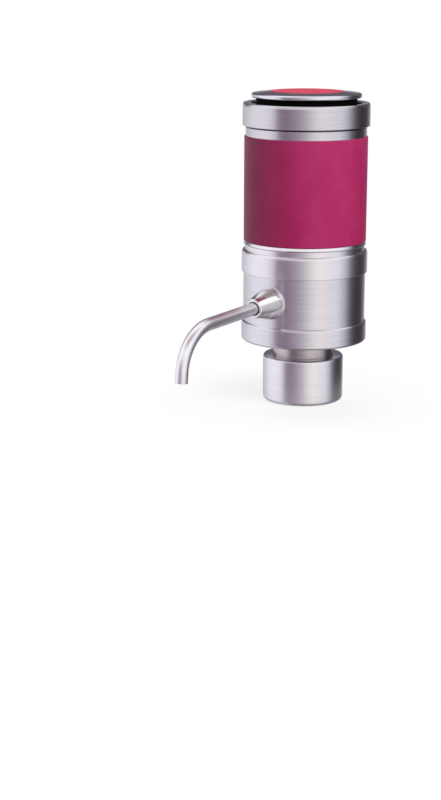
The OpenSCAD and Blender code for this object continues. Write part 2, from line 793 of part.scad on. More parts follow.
module crankcase() color(black) difference() {
    lathe([
        [crankcase_in, chassis_z1], [flange_r, chassis_z1], [flange_r, chassis_z1 + flange_t],
        [crankcase_r, chassis_z1 + flange_t], [crankcase_r, crankcase_z1],
        [motor_nose_r + fit_gap, crankcase_z1], [motor_nose_r + fit_gap, crankcase_z1 - crankcase_top_t],
        [crankcase_in, crankcase_z1 - crankcase_top_t]
    ]);
    screw_holes(screw_hole_r, chassis_z1 - 1, chassis_z1 + pump_screw_thread + 1);
    around(2, motor_screw_r) rod(screw_hole_r, crankcase_z1 - crankcase_top_t - 1, crankcase_z1 + 1);
    rotate([0, 0, breather_angle]) translate([crankcase_r, 0, chassis_z1 + breather_rise]) rotate([0, 90, 0])
        cylinder(r = breather_r, h = breather_cut, center = true);
}

module pump_screws() color(bright_steel) around(3, pump_screw_r, 90) translate([0, 0, pump_head_z0])
    rotate([180, 0, 0]) screw(chassis_z1 - pump_head_z0 + pump_screw_thread);

module chassis_plate() color(black) difference() {
    rod(chassis_r, chassis_z0, chassis_z1);
    rod(chassis_hole_r, chassis_z0 - 1, chassis_z1 + 1);
    around(3, chassis_screw_r, 30) {
        rod(screw_hole_r, chassis_z0 - 1, chassis_z1 + 1);
        rod(screw_head_r + head_gap, chassis_z1 - screw_head_h - head_sink, chassis_z1 + 1);
    }
}

module chassis_screws() color(bright_steel) around(3, chassis_screw_r, 30)
    translate([0, 0, chassis_z1 - screw_head_h - head_sink]) screw(chassis_t + lug_h - screw_head_h - 1);

// Motor
module motor_can() color(steel) difference() {
    union() {
        rod(motor_r, motor_z0, motor_z1);
        rod(motor_nose_r, motor_z0 - motor_nose_h, motor_z0 + 1);
    }
    rod(motor_r - motor_wall, motor_z0 + motor_wall, motor_z1 + 1);
    rod(bush_r + fit_gap, motor_z0 - motor_nose_h - 1, motor_z0 + 2);
    around(2, motor_screw_r) rod(screw_hole_r, motor_z0 - 1, motor_z0 + 2);
}

module motor_end_cap() color(black) difference() {
    union() {
        rod(motor_r - 0.1, motor_z1, end_cap_z1);
        rod(motor_r - motor_wall - fit_gap, motor_z1 - 1.5, motor_z1 + 0.5);
    }
    rod(bush_r + fit_gap, motor_z1 - 2, end_cap_z1 + 1);
    around(2, terminal_r) rod(lead_r + lead_gap, motor_z1 - 2, end_cap_z1 + 1);
}

module motor_magnets() color(grey_plastic) for (side = [0, 180]) rotate([0, 0, side - magnet_span / 2])
    rotate_extrude(angle = magnet_span) translate([motor_r - motor_wall - magnet_t, motor_z0 + magnet_rise])
        square([magnet_t - fit_gap, magnet_l]);

module motor_bushes() color(brass) {
    tube(bush_r, shaft_r + run_gap, motor_z0 - motor_nose_h, motor_z0 - motor_nose_h + bush_h);
    tube(bush_r, shaft_r + run_gap, end_cap_z1 - bush_h, end_cap_z1 - shaft_sink / 2);
}

module motor_screws() color(bright_steel) around(2, motor_screw_r)
    translate([0, 0, crankcase_z1 - crankcase_top_t]) rotate([180, 0, 0]) screw(crankcase_top_t + 1.6);

module motor_armature() color(copper) difference() {
    union() {
        rod(armature_r, motor_z0 + armature_rise, motor_z0 + armature_rise + armature_l);
        rod(shaft_r + armature_sleeve, motor_z0 + armature_rise - armature_margin, motor_z1 - brush_room);
    }
    rod(shaft_r, motor_z0, motor_z1);
    around(3, armature_r, 60) translate([-armature_slot_d, -armature_slot_w / 2, motor_z0])
        cube([2 * armature_slot_d, armature_slot_w, motor_l]);
}

module motor_shaft() color(bright_steel) rod(shaft_r, shaft_z0, end_cap_z1 - shaft_sink);

module crank_hub() color(black) difference() {
    rod(crank_hub_r, crank_hub_z0, crank_hub_z1);
    rod(shaft_r, shaft_z0, crank_hub_z1 + 1);
    on_crank() rod(crank_pin_r, -3, (crank_pin_top - crank_c_z) / cos(crank_tilt));
    translate([-crank_hub_r - 1, -crank_hub_r, shaft_z0 + hub_flat_rise])
        cube([crank_hub_r + 1 - hub_flat, 2 * crank_hub_r, crank_hub_h]);
}

module crank_pin() color(bright_steel) on_crank() rod(crank_pin_r, -1.2,
    (crank_pin_top - crank_c_z) / cos(crank_tilt) - 0.1);

module wobble_plate() color(grey_plastic) on_crank() difference() {
    union() {
        rod(wobble_r, -wobble_t / 3, wobble_t * 2 / 3);
        rod(wobble_hub_r, -wobble_hub_low, wobble_hub_high);
    }
    rod(crank_pin_r + run_gap, -wobble_hub_low - 1, wobble_hub_high + 1);
    around(3, wobble_r, 90) rod(wobble_notch_r, -wobble_t, 2 * wobble_t);
    around(3, chamber_r, 30) rod(wobble_hole_r, -wobble_t, 2 * wobble_t);
}

// Cells and their carrier
module cell_well_shapes(r, z0, z1) {
    around(6, cell_ring_r) rod(r, z0, z1);
}

// Strip that joins the cells with numbers a and b
module link(a, b, z, width, height) {
    mid = 30 * (a + b);
    length = cell_ring_r;
    rotate([0, 0, mid]) translate([cell_ring_r * cos(30) - width / 2, -length / 2, z])
        cube([width, length, height]);
}

module cell_carrier() color(black) difference() {
    rod(carrier_r, chassis_z1, carrier_z1);
    rod(carrier_in, chassis_z1 - 1, carrier_z1 + 1);
    rod(flange_r + 0.1, chassis_z1 - 1, chassis_z1 + flange_t + 0.1);
    cell_well_shapes(well_r, well_z0, carrier_z1 + 1);
    around(6, cell_ring_r, 30) rod(2.6, well_z0 + 2, carrier_z1 - 8);
    around(6, cell_ring_r) translate([0, -window_w / 2, well_z0 + 5])
        cube([cell_d + 2, window_w, carrier_z1 - well_z0 - 10]);
    for (a = [0, 2, 4]) link(a, a + 1, well_z0, link_w + 2 * link_gap, contact_t + link_gap);
    for (a = [1, 3]) link(a, a + 1, carrier_z1 - contact_t - link_gap, link_w + 2 * link_gap, 2);
    around(3, lid_screw_r, 30) rod(screw_hole_r, carrier_z1 - 6, carrier_z1 + 1);
}

// Cell with the given number, its button up where that is even
module cell(index) {
    up = index % 2 == 0;
    z0 = up ? cell_room_z0 + cell_spring_h : cell_room_z0 + cell_tip_h;
    body_l = cell_l - cell_tip_h;
    tip_z0 = up ? body_l - 0.2 : 0.02 - cell_tip_h;
    rotate([0, 0, 60 * index]) translate([cell_ring_r, 0, z0]) {
        cylinder(r = cell_r, h = body_l);
        translate([0, 0, tip_z0]) cylinder(r = cell_tip_r, h = cell_tip_h + 0.18);
    }
}

module cell_1() color(bright_steel) cell(0);
module cell_2() color(bright_steel) cell(1);
module cell_3() color(bright_steel) cell(2);
module cell_4() color(bright_steel) cell(3);
module cell_5() color(bright_steel) cell(4);
module cell_6() color(bright_steel) cell(5);

// One cone-shaped contact spring, wide end at z = 0 and cell_spring_h tall
module cone_spring() {
    turns = 2;
    steps = 28;
    z0 = cone_wire_r + 0.02;
    wire([for (i = [0:steps])
        let (
            t = i / steps,
            a = 360 * turns * t,
            r = cone_base_r + (cell_tip_r - cone_base_r) * t
        ) [r * cos(a), r * sin(a), z0 + (cell_spring_h - 2 * z0) * t]], cone_wire_r, 6);
}

module cell_springs() color(bright_steel)
    for (i = [0:5]) rotate([0, 0, 60 * i]) translate([cell_ring_r, 0, 0]) {
        if (i % 2 == 0) translate([0, 0, cell_room_z0]) cone_spring();
        else translate([0, 0, cell_room_z1]) mirror([0, 0, 1]) cone_spring();
    }

module cell_contacts() color(brass) {
    for (a = [0, 2, 4]) {
        link(a, a + 1, well_z0, link_w, contact_t);
        for (i = [a, a + 1]) rotate([0, 0, 60 * i]) translate([cell_ring_r, 0, 0])
            rod(cell_pad_r, well_z0, well_z0 + contact_t);
    }
    for (a = [1, 3]) link(a, a + 1, cell_room_z1, link_w, contact_t);
    for (i = [0:5]) rotate([0, 0, 60 * i]) translate([cell_ring_r, 0, 0])
        rod(cell_pad_r, cell_room_z1, carrier_z1);
}

module carrier_lid() color(black) difference() {
    tube(carrier_r, lid_in, carrier_z1, lid_z1);
    around(3, lid_screw_r, 30) {
        rod(screw_hole_r, carrier_z1 - 1, lid_z1 + 1);
        rod(screw_head_r + head_gap, lid_z1 - screw_head_h - head_sink, lid_z1 + 1);
    }
}

module contact_rings() color(brass) for (r = [inner_ring_r, outer_ring_r])
    tube(r + contact_ring_w / 2, r - contact_ring_w / 2, lid_z1, lid_z1 + contact_ring_h);

module lid_screws() color(bright_steel) around(3, lid_screw_r, 30)
    translate([0, 0, lid_z1 - screw_head_h - head_sink]) screw(lid_t - screw_head_h + lid_screw_thread);

// Insulated lead from a motor terminal over to the lid's inner edge
module lead(side) {
    top = deck_z0 - lead_headroom;
    control = [
        [side * terminal_r, 0, motor_z1 + 0.4], [side * terminal_r, 0, top],
        [side * (lid_in + 0.6), 4, top], [side * (lid_in + 1.2), 6, lid_z1 + lead_r + 0.02]
    ];
    wire([for (i = [0:14]) bezier(control, i / 14)], lead_r);
}

module lead_red() color([0.6, 0.06, 0.06]) lead(1);

module lead_black() color(black) lead(-1);

// Upper shell
module grip_barrel() color(black) tube(barrel_r, grip_in, lift_z0 + touch_gap, deck_flange_z0);

module grip_sleeve() color(magenta) lathe(concat(
    [[barrel_r, grip_z0 + lift_gap]],
    arc_points(shell_r - 0.3, grip_z0 + lift_gap + 0.3, 0.3, -90, 0, 3),
    arc_points(shell_r - 0.3, grip_z1 - 0.3, 0.3, 0, 90, 3),
    [[barrel_r, grip_z1]]
));

module top_bezel() color(steel) lathe(concat(
    [
        [barrel_r + fit_gap, grip_z1], [band_r, grip_z1], [band_r, top_z0 - seam_h],
        [band_r - 0.3, top_z0 - seam_h], [band_r - 0.3, top_z0], [ring_r - ring_bevel, top_z0],
        [ring_r, top_z0 + ring_bevel]
    ],
    arc_points(ring_r - ring_edge, top_z1 - ring_edge, ring_edge, 0, 90),
    [
        [well_bore_r + 0.3, top_z1], [well_bore_r, top_z1 - 0.3], [well_bore_r, guide_z0],
        [relief_r, guide_z0], [relief_r, top_z0], [barrel_r + fit_gap, top_z0]
    ]
));

module top_deck() color(black) difference() {
    union() {
        rod(grip_in - fit_gap, deck_z0, deck_flange_z0 + 0.5);
        rod(barrel_r - fit_gap, deck_flange_z0, deck_z1);
        around(3, board_screw_r, 90) rod(standoff_r, deck_z1 - 0.5, board_z0);
    }
    for (r = [inner_ring_r, outer_ring_r]) rotate([0, 0, pin_angle]) translate([r, 0, 0])
        rod(pin_r + fit_gap, deck_z0 - 1, board_z0 + 1);
    around(3, board_screw_r, 90) rod(screw_hole_r, deck_z0 + 0.8, board_z0 + 1);
}

module deck_screws() color(bright_steel) around(3, board_screw_r, 90) translate([0, 0, board_z1])
    screw(board_t + standoff_h + 1.5);

module contact_pins() color(brass) for (r = [inner_ring_r, outer_ring_r]) rotate([0, 0, pin_angle])
    translate([r, 0, 0]) rod(pin_r, lid_z1 + contact_ring_h + touch_gap, board_z0 + board_t / 2);

module switch_board() color(board_green) difference() {
    rod(board_d / 2, board_z0, board_z1);
    around(3, board_screw_r, 90) rod(screw_hole_r, board_z0 - 1, board_z1 + 1);
    for (r = [inner_ring_r, outer_ring_r]) rotate([0, 0, pin_angle]) translate([r, 0, 0])
        rod(pin_r + fit_gap, board_z0 - 1, board_z1 + 1);
}

module push_switch() color(black) difference() {
    translate([-switch_w / 2, -switch_w / 2, board_z1]) cube([switch_w, switch_w, switch_h]);
    rod(switch_pin_r + run_gap, board_z1 + 0.5, switch_z1 + 1);
}

module switch_plunger() color(grey_plastic) rod(switch_pin_r, board_z1 + 0.8 + button_travel, switch_pin_z1);

// Button
module button_spring() color(bright_steel) {
    steps = 20 * spring_turns;
    z0 = board_z1 + spring_wire_r + 0.02;
    z1 = plunger_plate_z0 - spring_wire_r - 0.02;
    wire([for (i = [0:steps])
        let (
            t = i / steps,
            a = 360 * spring_turns * t
        ) [spring_r * cos(a), spring_r * sin(a), z0 + (z1 - z0) * t]], spring_wire_r, 8);
}

module button_plunger() color(black) {
    lathe([
        [0, switch_pin_z1 + touch_gap], [stem_r, switch_pin_z1 + touch_gap], [stem_r, plunger_plate_z0],
        [plunger_in, plunger_plate_z0], [plunger_in, catch_z1 - catch_h], [plunger_r, catch_z1 - catch_h],
        [plunger_r, button_z0], [0, button_z0]
    ]);
    for (i = [0:2]) rotate([0, 0, 120 * i]) rotate_extrude(angle = catch_span) polygon([
        [plunger_r - 0.2, catch_z1 - catch_h], [catch_r - 0.4, catch_z1 - catch_h],
        [catch_r, catch_z1 - 0.6], [catch_r, catch_z1], [plunger_r - 0.2, catch_z1]
    ]);
}

module button_cap() color(steel) lathe(concat(
    [[0, button_z0]],
    [[button_r - 2 * cap_edge, button_z0], [button_r - 0.3, button_z0 + cap_edge]],
    arc_points(button_r - cap_edge, button_z1 - cap_edge, cap_edge, 0, 84),
    [
        [inlay_r + fit_gap, button_z1 + button_crown], [inlay_r + fit_gap, button_z1 + button_crown - inlay_t],
        [0, button_z1 + button_crown - inlay_t]
    ]
));

module button_inlay() color(magenta) {
    top = button_z1 + button_crown;
    lathe([
        [0, top - inlay_t], [inlay_r, top - inlay_t], [inlay_r, top - 0.1], [inlay_r - 0.2, top + 0.05],
        [inlay_r * 0.66, top + 0.16], [inlay_r * 0.33, top + 0.22], [0, top + 0.24]
    ]);
}

collar_shell();
collar_liner();
bottle_gasket();
collar_nut();
adaptor_neck();
neck_nut();
lower_housing();
coupling_ring();
manifold();
air_valve();
air_hose();
spout_ferrule();
spout_seal();
spout_tube();
pump_head();
pump_valves();
valve_plate();
diaphragm();
crankcase();
pump_screws();
chassis_plate();
chassis_screws();
motor_can();
motor_end_cap();
motor_magnets();
motor_bushes();
motor_screws();
motor_armature();
motor_shaft();
crank_hub();
crank_pin();
wobble_plate();
cell_carrier();
cell_1();
cell_2();
cell_3();
cell_4();
cell_5();
cell_6();
cell_springs();
cell_contacts();
carrier_lid();
contact_rings();
lid_screws();
lead_red();
lead_black();
grip_barrel();
grip_sleeve();
top_bezel();
top_deck();
deck_screws();
contact_pins();
switch_board();
push_switch();
switch_plunger();
button_spring();
button_plunger();
button_cap();
button_inlay();
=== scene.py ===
import json
import math

import bmesh
import bpy
from mathutils import Matrix, Vector
from mathutils.geometry import interpolate_bezier

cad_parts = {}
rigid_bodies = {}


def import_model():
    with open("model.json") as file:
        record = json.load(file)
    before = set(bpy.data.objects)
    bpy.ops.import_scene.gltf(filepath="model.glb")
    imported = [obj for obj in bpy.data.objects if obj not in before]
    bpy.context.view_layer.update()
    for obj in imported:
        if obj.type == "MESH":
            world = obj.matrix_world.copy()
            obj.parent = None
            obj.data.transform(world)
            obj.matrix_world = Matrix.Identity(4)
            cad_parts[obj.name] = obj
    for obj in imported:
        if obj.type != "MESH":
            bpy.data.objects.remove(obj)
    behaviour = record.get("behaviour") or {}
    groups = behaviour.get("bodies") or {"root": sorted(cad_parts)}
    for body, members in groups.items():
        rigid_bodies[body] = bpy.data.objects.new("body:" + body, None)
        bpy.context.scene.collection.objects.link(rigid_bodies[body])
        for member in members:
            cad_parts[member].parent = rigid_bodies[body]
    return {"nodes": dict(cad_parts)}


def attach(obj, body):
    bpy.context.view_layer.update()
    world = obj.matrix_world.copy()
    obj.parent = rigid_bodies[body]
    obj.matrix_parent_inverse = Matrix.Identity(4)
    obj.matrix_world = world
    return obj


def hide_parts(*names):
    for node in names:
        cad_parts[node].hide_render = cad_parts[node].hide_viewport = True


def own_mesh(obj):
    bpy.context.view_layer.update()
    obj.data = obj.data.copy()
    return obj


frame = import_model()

# Electric aerator: turned steel shell, soft magenta grip, sprung button and bent spout

# The start-up file's own cube, lamp and camera aren't part of the object
for starter in ("Cube", "Light", "Camera"):
    if starter in bpy.data.objects:
        bpy.data.objects.remove(bpy.data.objects[starter])
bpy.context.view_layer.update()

# Sizes of the part, in millimetres
MM = 0.001
FIT = 0.05
HAIR_GAP = 0.02
WELD = 0.0005
COLLAR_R = 20.0
COLLAR_H = 22.8
COLLAR_WALL = 2.0
SOCKET_R = 15.4
LIP_T = 2.5
LINER_TOP = 13.0
RIB_COUNT = 5
RIB_STEP = 2.1
RIB_DEPTH = 0.5
GASKET_TOP = 17.6
GASKET_GROOVE_R = 12.8
GASKET_GROOVE_W = 1.2
GASKET_GROOVE_DEPTH = 0.5
NECK_R = 15.0
NECK_BORE_R = 9.0
SPIGOT_R = 11.9
LOWER_SPIGOT_L = 5.0
UPPER_SPIGOT_L = 5.5
SHELL_R = 30.1
RING_R = 31.0
BAND_R = 29.5
HOUSING_IN = 28.2
HOUSING_FLOOR_T = 2.5
BODY_Z0 = 30.7
BARREL_Z0 = 40.6
BARREL_Z1 = 64.9
COUPLING_IN = 26.4
COUPLING_LAP = 4.0
MIDDLE_Z1 = 75.6
GRIP_Z0 = 80.1
GRIP_Z1 = 131.1
GRIP_CORE_R = 28.6
GRIP_SEAT_H = 4.1
GRIP_GAP = 0.12
TOP_Z0 = 136.1
TOP_Z1 = 147.1
SEAM_H = 0.8
SEAM_DEPTH = 0.6
WELL_R = 27.0
WELL_H = 4.1
BUTTON_R = 26.85
BUTTON_Z0 = 149.3
BUTTON_Z1 = 151.6
BUTTON_TOP = 152.5
SKIRT_STEP = 2.1
SKIRT_STEP_Z0 = 146.0
SKIRT_STEP_Z1 = 147.0
SKIRT_IN = 20.0
INLAY_R = 17.7
INLAY_T = 0.8
BOARD_TOP = 138.5
PLUNGER_PLATE_Z0 = 147.9
RETURN_SPRING_R = 8.2
RETURN_SPRING_TURNS = 5.0
RETURN_WIRE_R = 0.4

# The spout's axis leaves the barrel's surface here and slopes down along -Y
SPOUT_Z = 52.75
SPOUT_DROOP = math.radians(2.5)
SPOUT_R = 3.0
SPOUT_WALL = 0.6
SPOUT_RIM = 0.12
SPOUT_GRIP = 9.0
SPOUT_REACH = 50.0
BEND_R = 21.7
BEND_ANGLE = math.radians(83.0)
BEND_STEPS = 36
SPOUT_END = 4.0
FERRULE_BASE_R = 8.1
FERRULE_TIP_R = 4.65
FERRULE_L = 14.0
FERRULE_ROOT = 3.0
FERRULE_LIP = 0.7
SHANK_R = 5.0
SHANK_L = 10.4
SHANK_TOP = 0.3
SHANK_HOLE_R = 5.2
SPOUT_GAP = 0.4
SEAL_SEAT_R = 3.95
SEAL_SEAT_L = 3.0
SEAL_MID_R = 3.48
SEAL_WIRE_R = 0.45

# Lugs inside the coupling ring that hold the chassis
LUG_IN = 21.8
LUG_OUT = 26.6
LUG_SPAN = 24.0
LUG_COUNT = 3
LUG_FIRST = 30.0
LUG_Z0 = 73.2
LUG_Z1 = 77.2
CHASSIS_SCREW_R = 24.0
SCREW_HOLE_R = 1.05

# Pan-head screws
SCREW_HEAD_R = 1.8
SCREW_HEAD_H = 1.2
SCREW_SHANK_R = 1.0
SCREW_SLOT = 0.26
SCREW_SLOT_DEPTH = 0.5

# The cells and what holds them
CARRIER_R = 26.9
CELL_RING_R = 20.45
CELLS_EACH_WAY = 3
CELL_R = 5.25
CELL_L = 44.5
CELL_TIP_H = 1.0
CELL_TIP_R = 1.9
CELL_BODY_L = CELL_L - CELL_TIP_H
CELL_ROOM_Z0 = 83.3
CELL_ROOM_Z1 = 128.7
CELL_BAND = (15.5, 16.6)
CELL_SPRING_H = 0.9
CONE_SPRING_R = 3.6
CONE_SPRING_TURNS = 2.0
CONE_WIRE_R = 0.16
LID_TOP = 131.0
LID_IN = 13.0
MOTOR_TOP = 127.0
DECK_Z0 = 133.1
TERMINAL_R = 8.2
LEAD_R = 0.6
LEAD_HEADROOM = 0.4
LEAD_FOOT = 0.4
LEAD_CROSS = (LID_IN + 0.6, 4.0)
LEAD_LAND = (LID_IN + 1.2, 6.0)
LEAD_STEPS = 32

# Degrees past which an edge is sharp: on turned pieces, screws, other made pieces and the tube's rim
TURNED_SHARP = 32.0
SCREW_SHARP = 28.0
MADE_SHARP = 40.0
RIM_SHARP = 60.0

# Where the photograph was taken from, seen from the grip's middle
VIEW_AZIMUTH = math.radians(33.0)
VIEW_ELEVATION = math.radians(7.01)
VIEW_DISTANCE = 866.4
VIEW_YAW = math.radians(2.688)
VIEW_PITCH = math.radians(-6.915)
VIEW_ROLL = math.radians(-0.514)
VIEW_LENS = 78.98
VIEW_CENTRE = Vector((0, 0, 105.6))

# The floor's reach, its drop under the collar and how clear it is, and the two soft lamps
FLOOR_R = 84.0
FLOOR_DROP = 0.2
FLOOR_CLEAR = 0.76
LAMP_DISTANCE = 900.0
LAMP_SIZE = 500.0
KEY_LAMP = {"azimuth": 70.0, "elevation": 36.0, "power": 6.8}
BACK_LAMP = {"azimuth": 232.0, "elevation": 30.0, "power": 4.0}


class Num:
    """A socket that takes part in Python arithmetic and adds the Math nodes for it."""

    def __init__(self, tree, socket):
        self.tree = tree
        self.socket = socket

    def maths(self, operation, *others):
        """A Math node whose first term is this value."""
        terms = dict(enumerate((self, *others)))
        return Num(self.tree, self.tree.node("ShaderNodeMath", terms, operation=operation)[0])

    def __add__(self, other):
        return self.maths("ADD", other)

    __radd__ = __add__

    def __sub__(self, other):
        return self.maths("SUBTRACT", other)

    def __rsub__(self, other):
        return -self + other

    def __mul__(self, other):
        return self.maths("MULTIPLY", other)

    __rmul__ = __mul__

    def __truediv__(self, other):
        return self.maths("DIVIDE", other)

    def __rtruediv__(self, other):
        return self ** -1 * other

    def __pow__(self, power):
        return self.maths("POWER", power)

    def __neg__(self):
        return self * -1

    def __abs__(self):
        return self.maths("ABSOLUTE")

    def __lt__(self, limit):
        return self.maths("LESS_THAN", limit)

    def __gt__(self, limit):
        return self.maths("GREATER_THAN", limit)

    def greatest(self, other):
        """The greater of two values."""
        return self.maths("MAXIMUM", other)

    def swing(self, amount):
        """How far noise lies from its middle, times amount."""
        return (self - 0.5) * amount

    def ease(self, low, high):
        """0 below low and 1 above high, with a soft change between."""
        span = {"Value": self, "From Min": low, "From Max": high}
        made = self.tree.node("ShaderNodeMapRange", span, interpolation_type="SMOOTHSTEP")
        return Num(self.tree, made["Result"])


class Tree:
    """One node tree, of a finish or of a shape, and the one method that makes its nodes."""

    def __init__(self, owner):
        self.owner = owner
        self.tree = getattr(owner, "node_tree", owner)
        self.spot = None
        self.identifiers = {}

    def node(self, kind, sockets=None, **settings):
        """Makes a node with these settings, fills or links its sockets, and returns its outputs."""
        made = self.tree.nodes.new(kind)
        for name, value in settings.items():
            if name == "stops":
                self.set_stops(made.color_ramp, value)
            else:
                setattr(made, name, value)
        for name, value in (sockets or {}).items():
            source = value.socket if isinstance(value, Num) else value
            if isinstance(source, bpy.types.NodeSocket):
                self.tree.links.new(source, made.inputs[name])
            elif source is not None:
                made.inputs[name].default_value = source
        return made.outputs

    @staticmethod
    def set_stops(ramp, stops):
        """Sets a ramp's stops from (place, colour) pairs in rising order."""
        while len(ramp.elements) > 1:
            ramp.elements.remove(ramp.elements[-1])
        ramp.elements[0].position = stops[0][0]
        ramp.elements[0].color = (*stops[0][1], 1)
        for place, colour in stops[1:]:
            ramp.elements.new(place).color = (*colour, 1)

    def parts(self, vector):
        """The three values of a vector."""
        return [Num(self, part) for part in self.node("ShaderNodeSeparateXYZ", {0: vector})]

    def place(self):
        """The point's x, y and z in the object's own frame, in millimetres."""
        if self.spot is None:
            where = self.node("ShaderNodeTexCoord")["Object"]
            self.spot = [part * (1 / MM) for part in self.parts(where)]
        return self.spot

    def joined(self, x, y, z):
        """A vector from three values."""
        return self.node("ShaderNodeCombineXYZ", {0: x, 1: y, 2: z})[0]

    def noise(self, vector, detail=2.0, rough=0.5):
        """Smooth noise around 0.5, about one unit from hill to hill."""
        sockets = {"Vector": vector, "Scale": 1.0, "Detail": detail, "Roughness": rough}
        return Num(self, self.node("ShaderNodeTexNoise", sockets)["Fac"])

    def speckle(self, per_mm, detail=2.0, rough=0.5):
        """Noise with so many hills per millimetre, alike all ways or given along x, y and z."""
        along = per_mm if isinstance(per_mm, tuple) else (per_mm,) * 3
        x, y, z = (part * density for part, density in zip(self.place(), along))
        return self.noise(self.joined(x, y, z), detail, rough)

    def mixed(self, amount, first, second):
        """A colour between first and second."""
        sockets = {0: amount, 6: rgba(first), 7: rgba(second)}
        return self.node("ShaderNodeMix", sockets, data_type="RGBA")[2]

    def bump(self, height, depth_mm, strength=1.0):
        """A normal for a surface whose relief is height times depth_mm."""
        sockets = {"Strength": strength, "Distance": depth_mm * MM, "Height": height}
        return self.node("ShaderNodeBump", sockets)["Normal"]


def rgba(colour):
    """A colour with its alpha, or the socket that it already is."""
    if isinstance(colour, (bpy.types.NodeSocket, Num)):
        return colour
    return (*colour, 1)


def srgb(red, green, blue):
    """A linear colour from the 0 to 255 values that a screen shows."""
    def linear(part):
        part = part / 255
        return part / 12.92 if part <= 0.04045 else ((part + 0.055) / 1.055) ** 2.4
    return linear(red), linear(green), linear(blue)


def shaded(colour, share):
    """A colour at a share of its brightness."""
    return [part * share for part in colour]


def emptied(owner):
    """The node tree of a material or world, with nothing in it."""
    owner.use_nodes = True
    owner.node_tree.nodes.clear()
    return Tree(owner)


def new_finish(name):
    """The empty tree of a new material."""
    return emptied(bpy.data.materials.new(name))


def surface(tree, **sockets):
    """Ends a finish in a Principled surface and returns it; sockets are named with _ for a space."""
    named = {key.replace("_", " "): value for key, value in sockets.items()}
    skin = tree.node("ShaderNodeBsdfPrincipled", named)[0]
    tree.node("ShaderNodeOutputMaterial", {"Surface": skin})
    return tree.owner


# Finishes

def turned_steel(name, dark, light, rough, seam=None):
    """Steel brushed on a lathe: fine lines round the axis, faint wider bands, and painted shade in a
    seam.
    """
    tree = new_finish(name)
    x, y, z = tree.place()
    radius = (x * x + y * y) ** 0.5
    across = z + radius
    fine = tree.noise(tree.joined(x * 0.05, y * 0.05, across * 7.0), 3.0, 0.6)
    wide = tree.noise(tree.joined(x * 0.03, y * 0.03, across * 1.4), 2.0)
    smudge = tree.speckle(0.12, 3.0)
    lines = fine * 0.6 + wide * 0.4
    colour = tree.mixed(lines.ease(0.2, 0.8), dark, light)
    # Painted shade: the seam groove's colour is darkened to stand in for the shadow inside it
    if seam:
        painted_seam_shade = (abs(z - seam) < SEAM_H / 2 + FIT) * (radius < BAND_R - 0.1)
        colour = tree.mixed(painted_seam_shade, colour, shaded(dark, 0.12))
    return surface(
        tree,
        Base_Color=colour,
        Metallic=1.0,
        Roughness=rough + fine.swing(0.08) + smudge.swing(0.06),
        Anisotropic=0.7,
        Anisotropic_Rotation=0.25,
        Normal=tree.bump(lines, 0.008, 0.16),
    )


def polished_steel(name, colour, rough):
    """Steel polished almost to a mirror, with faint wipe marks."""
    tree = new_finish(name)
    wipe = tree.speckle((0.5, 0.16, 0.5), 4.0, 0.6)
    tint = tree.speckle(0.1)
    return surface(
        tree,
        Base_Color=tree.mixed(tint.ease(0.3, 0.7), shaded(colour, 0.94), colour),
        Metallic=1.0,
        Roughness=rough + wipe.swing(0.06),
        Normal=tree.bump(wipe, 0.004, 0.3),
    )


def soft_grip(name, deep, bright):
    """Soft-touch coating in magenta with a very fine grain and faint cloudy rub marks."""
    tree = new_finish(name)
    cloud = tree.speckle((0.06, 0.06, 0.04), 3.0)
    grain = tree.speckle(3.2, 2.0, 0.6)
    rub = tree.speckle((0.18, 0.18, 0.5), 4.0, 0.6)
    return surface(
        tree,
        Base_Color=tree.mixed(cloud.ease(0.3, 0.7) * 0.7 + grain * 0.3, deep, bright),
        Roughness=0.46 + rub.swing(0.12) + grain.swing(0.08),
        Specular_IOR_Level=0.3,
        Normal=tree.bump(grain, 0.03, 0.35),
    )


def moulded(name, dark, light, rough, grain_per_mm, relief_mm, gloss=0.5):
    """Moulded plastic or rubber: a fine spark-eroded grain and slightly uneven colour."""
    tree = new_finish(name)
    cloud = tree.speckle(0.15)
    grain = tree.speckle(grain_per_mm, 3.0, 0.6)
    return surface(
        tree,
        Base_Color=tree.mixed(cloud.ease(0.3, 0.7) * 0.6 + grain * 0.4, dark, light),
        Roughness=rough + grain.swing(0.2),
        Specular_IOR_Level=gloss,
        Normal=tree.bump(grain, relief_mm, 0.5),
    )


def worked_metal(name, dark, light, rough):
    """Small pressed or turned metal: drawn lines, a little tarnish and uneven gloss."""
    tree = new_finish(name)
    drawn = tree.speckle((0.8, 0.8, 6.0), 3.0, 0.6)
    tarnish = tree.speckle(0.35, 4.0, 0.6)
    return surface(
        tree,
        Base_Color=tree.mixed(tarnish.ease(0.3, 0.75), dark, light),
        Metallic=1.0,
        Roughness=rough + drawn.swing(0.18) + tarnish.swing(0.1),
        Normal=tree.bump(drawn, 0.01, 0.4),
    )


def clear_silicone(name):
    """Milky silicone rubber with a soft gloss."""
    tree = new_finish(name)
    milk = tree.speckle(0.25, 3.0)
    grain = tree.speckle(2.5)
    return surface(
        tree,
        Base_Color=tree.mixed(milk.ease(0.3, 0.7), srgb(206, 210, 212), srgb(226, 229, 230)),
        Roughness=0.38 + grain.swing(0.15),
        Subsurface_Weight=0.15,
        Subsurface_Radius=(0.002, 0.002, 0.002),
        Normal=tree.bump(grain, 0.015, 0.3),
    )


def circuit_board(name):
    """Green solder mask with lighter copper tracks under it."""
    tree = new_finish(name)
    x, y, z = tree.place()
    rows = {
        "Vector": tree.joined(x * 0.5, y * 0.5, z * 0.5), "Scale": 1.0, "Brick Width": 2.3,
        "Row Height": 0.7, "Mortar Size": 0.05, "Mortar Smooth": 0.1,
    }
    track = Num(tree, tree.node("ShaderNodeTexBrick", rows, offset=0.37, squash=1.0)["Fac"])
    weave = tree.speckle(1.8)
    return surface(
        tree,
        Base_Color=tree.mixed(track * 0.7 + weave * 0.15, srgb(14, 74, 44), srgb(64, 140, 84)),
        Roughness=0.32 + weave.swing(0.15),
        Normal=tree.bump(track, 0.03, 0.4),
    )


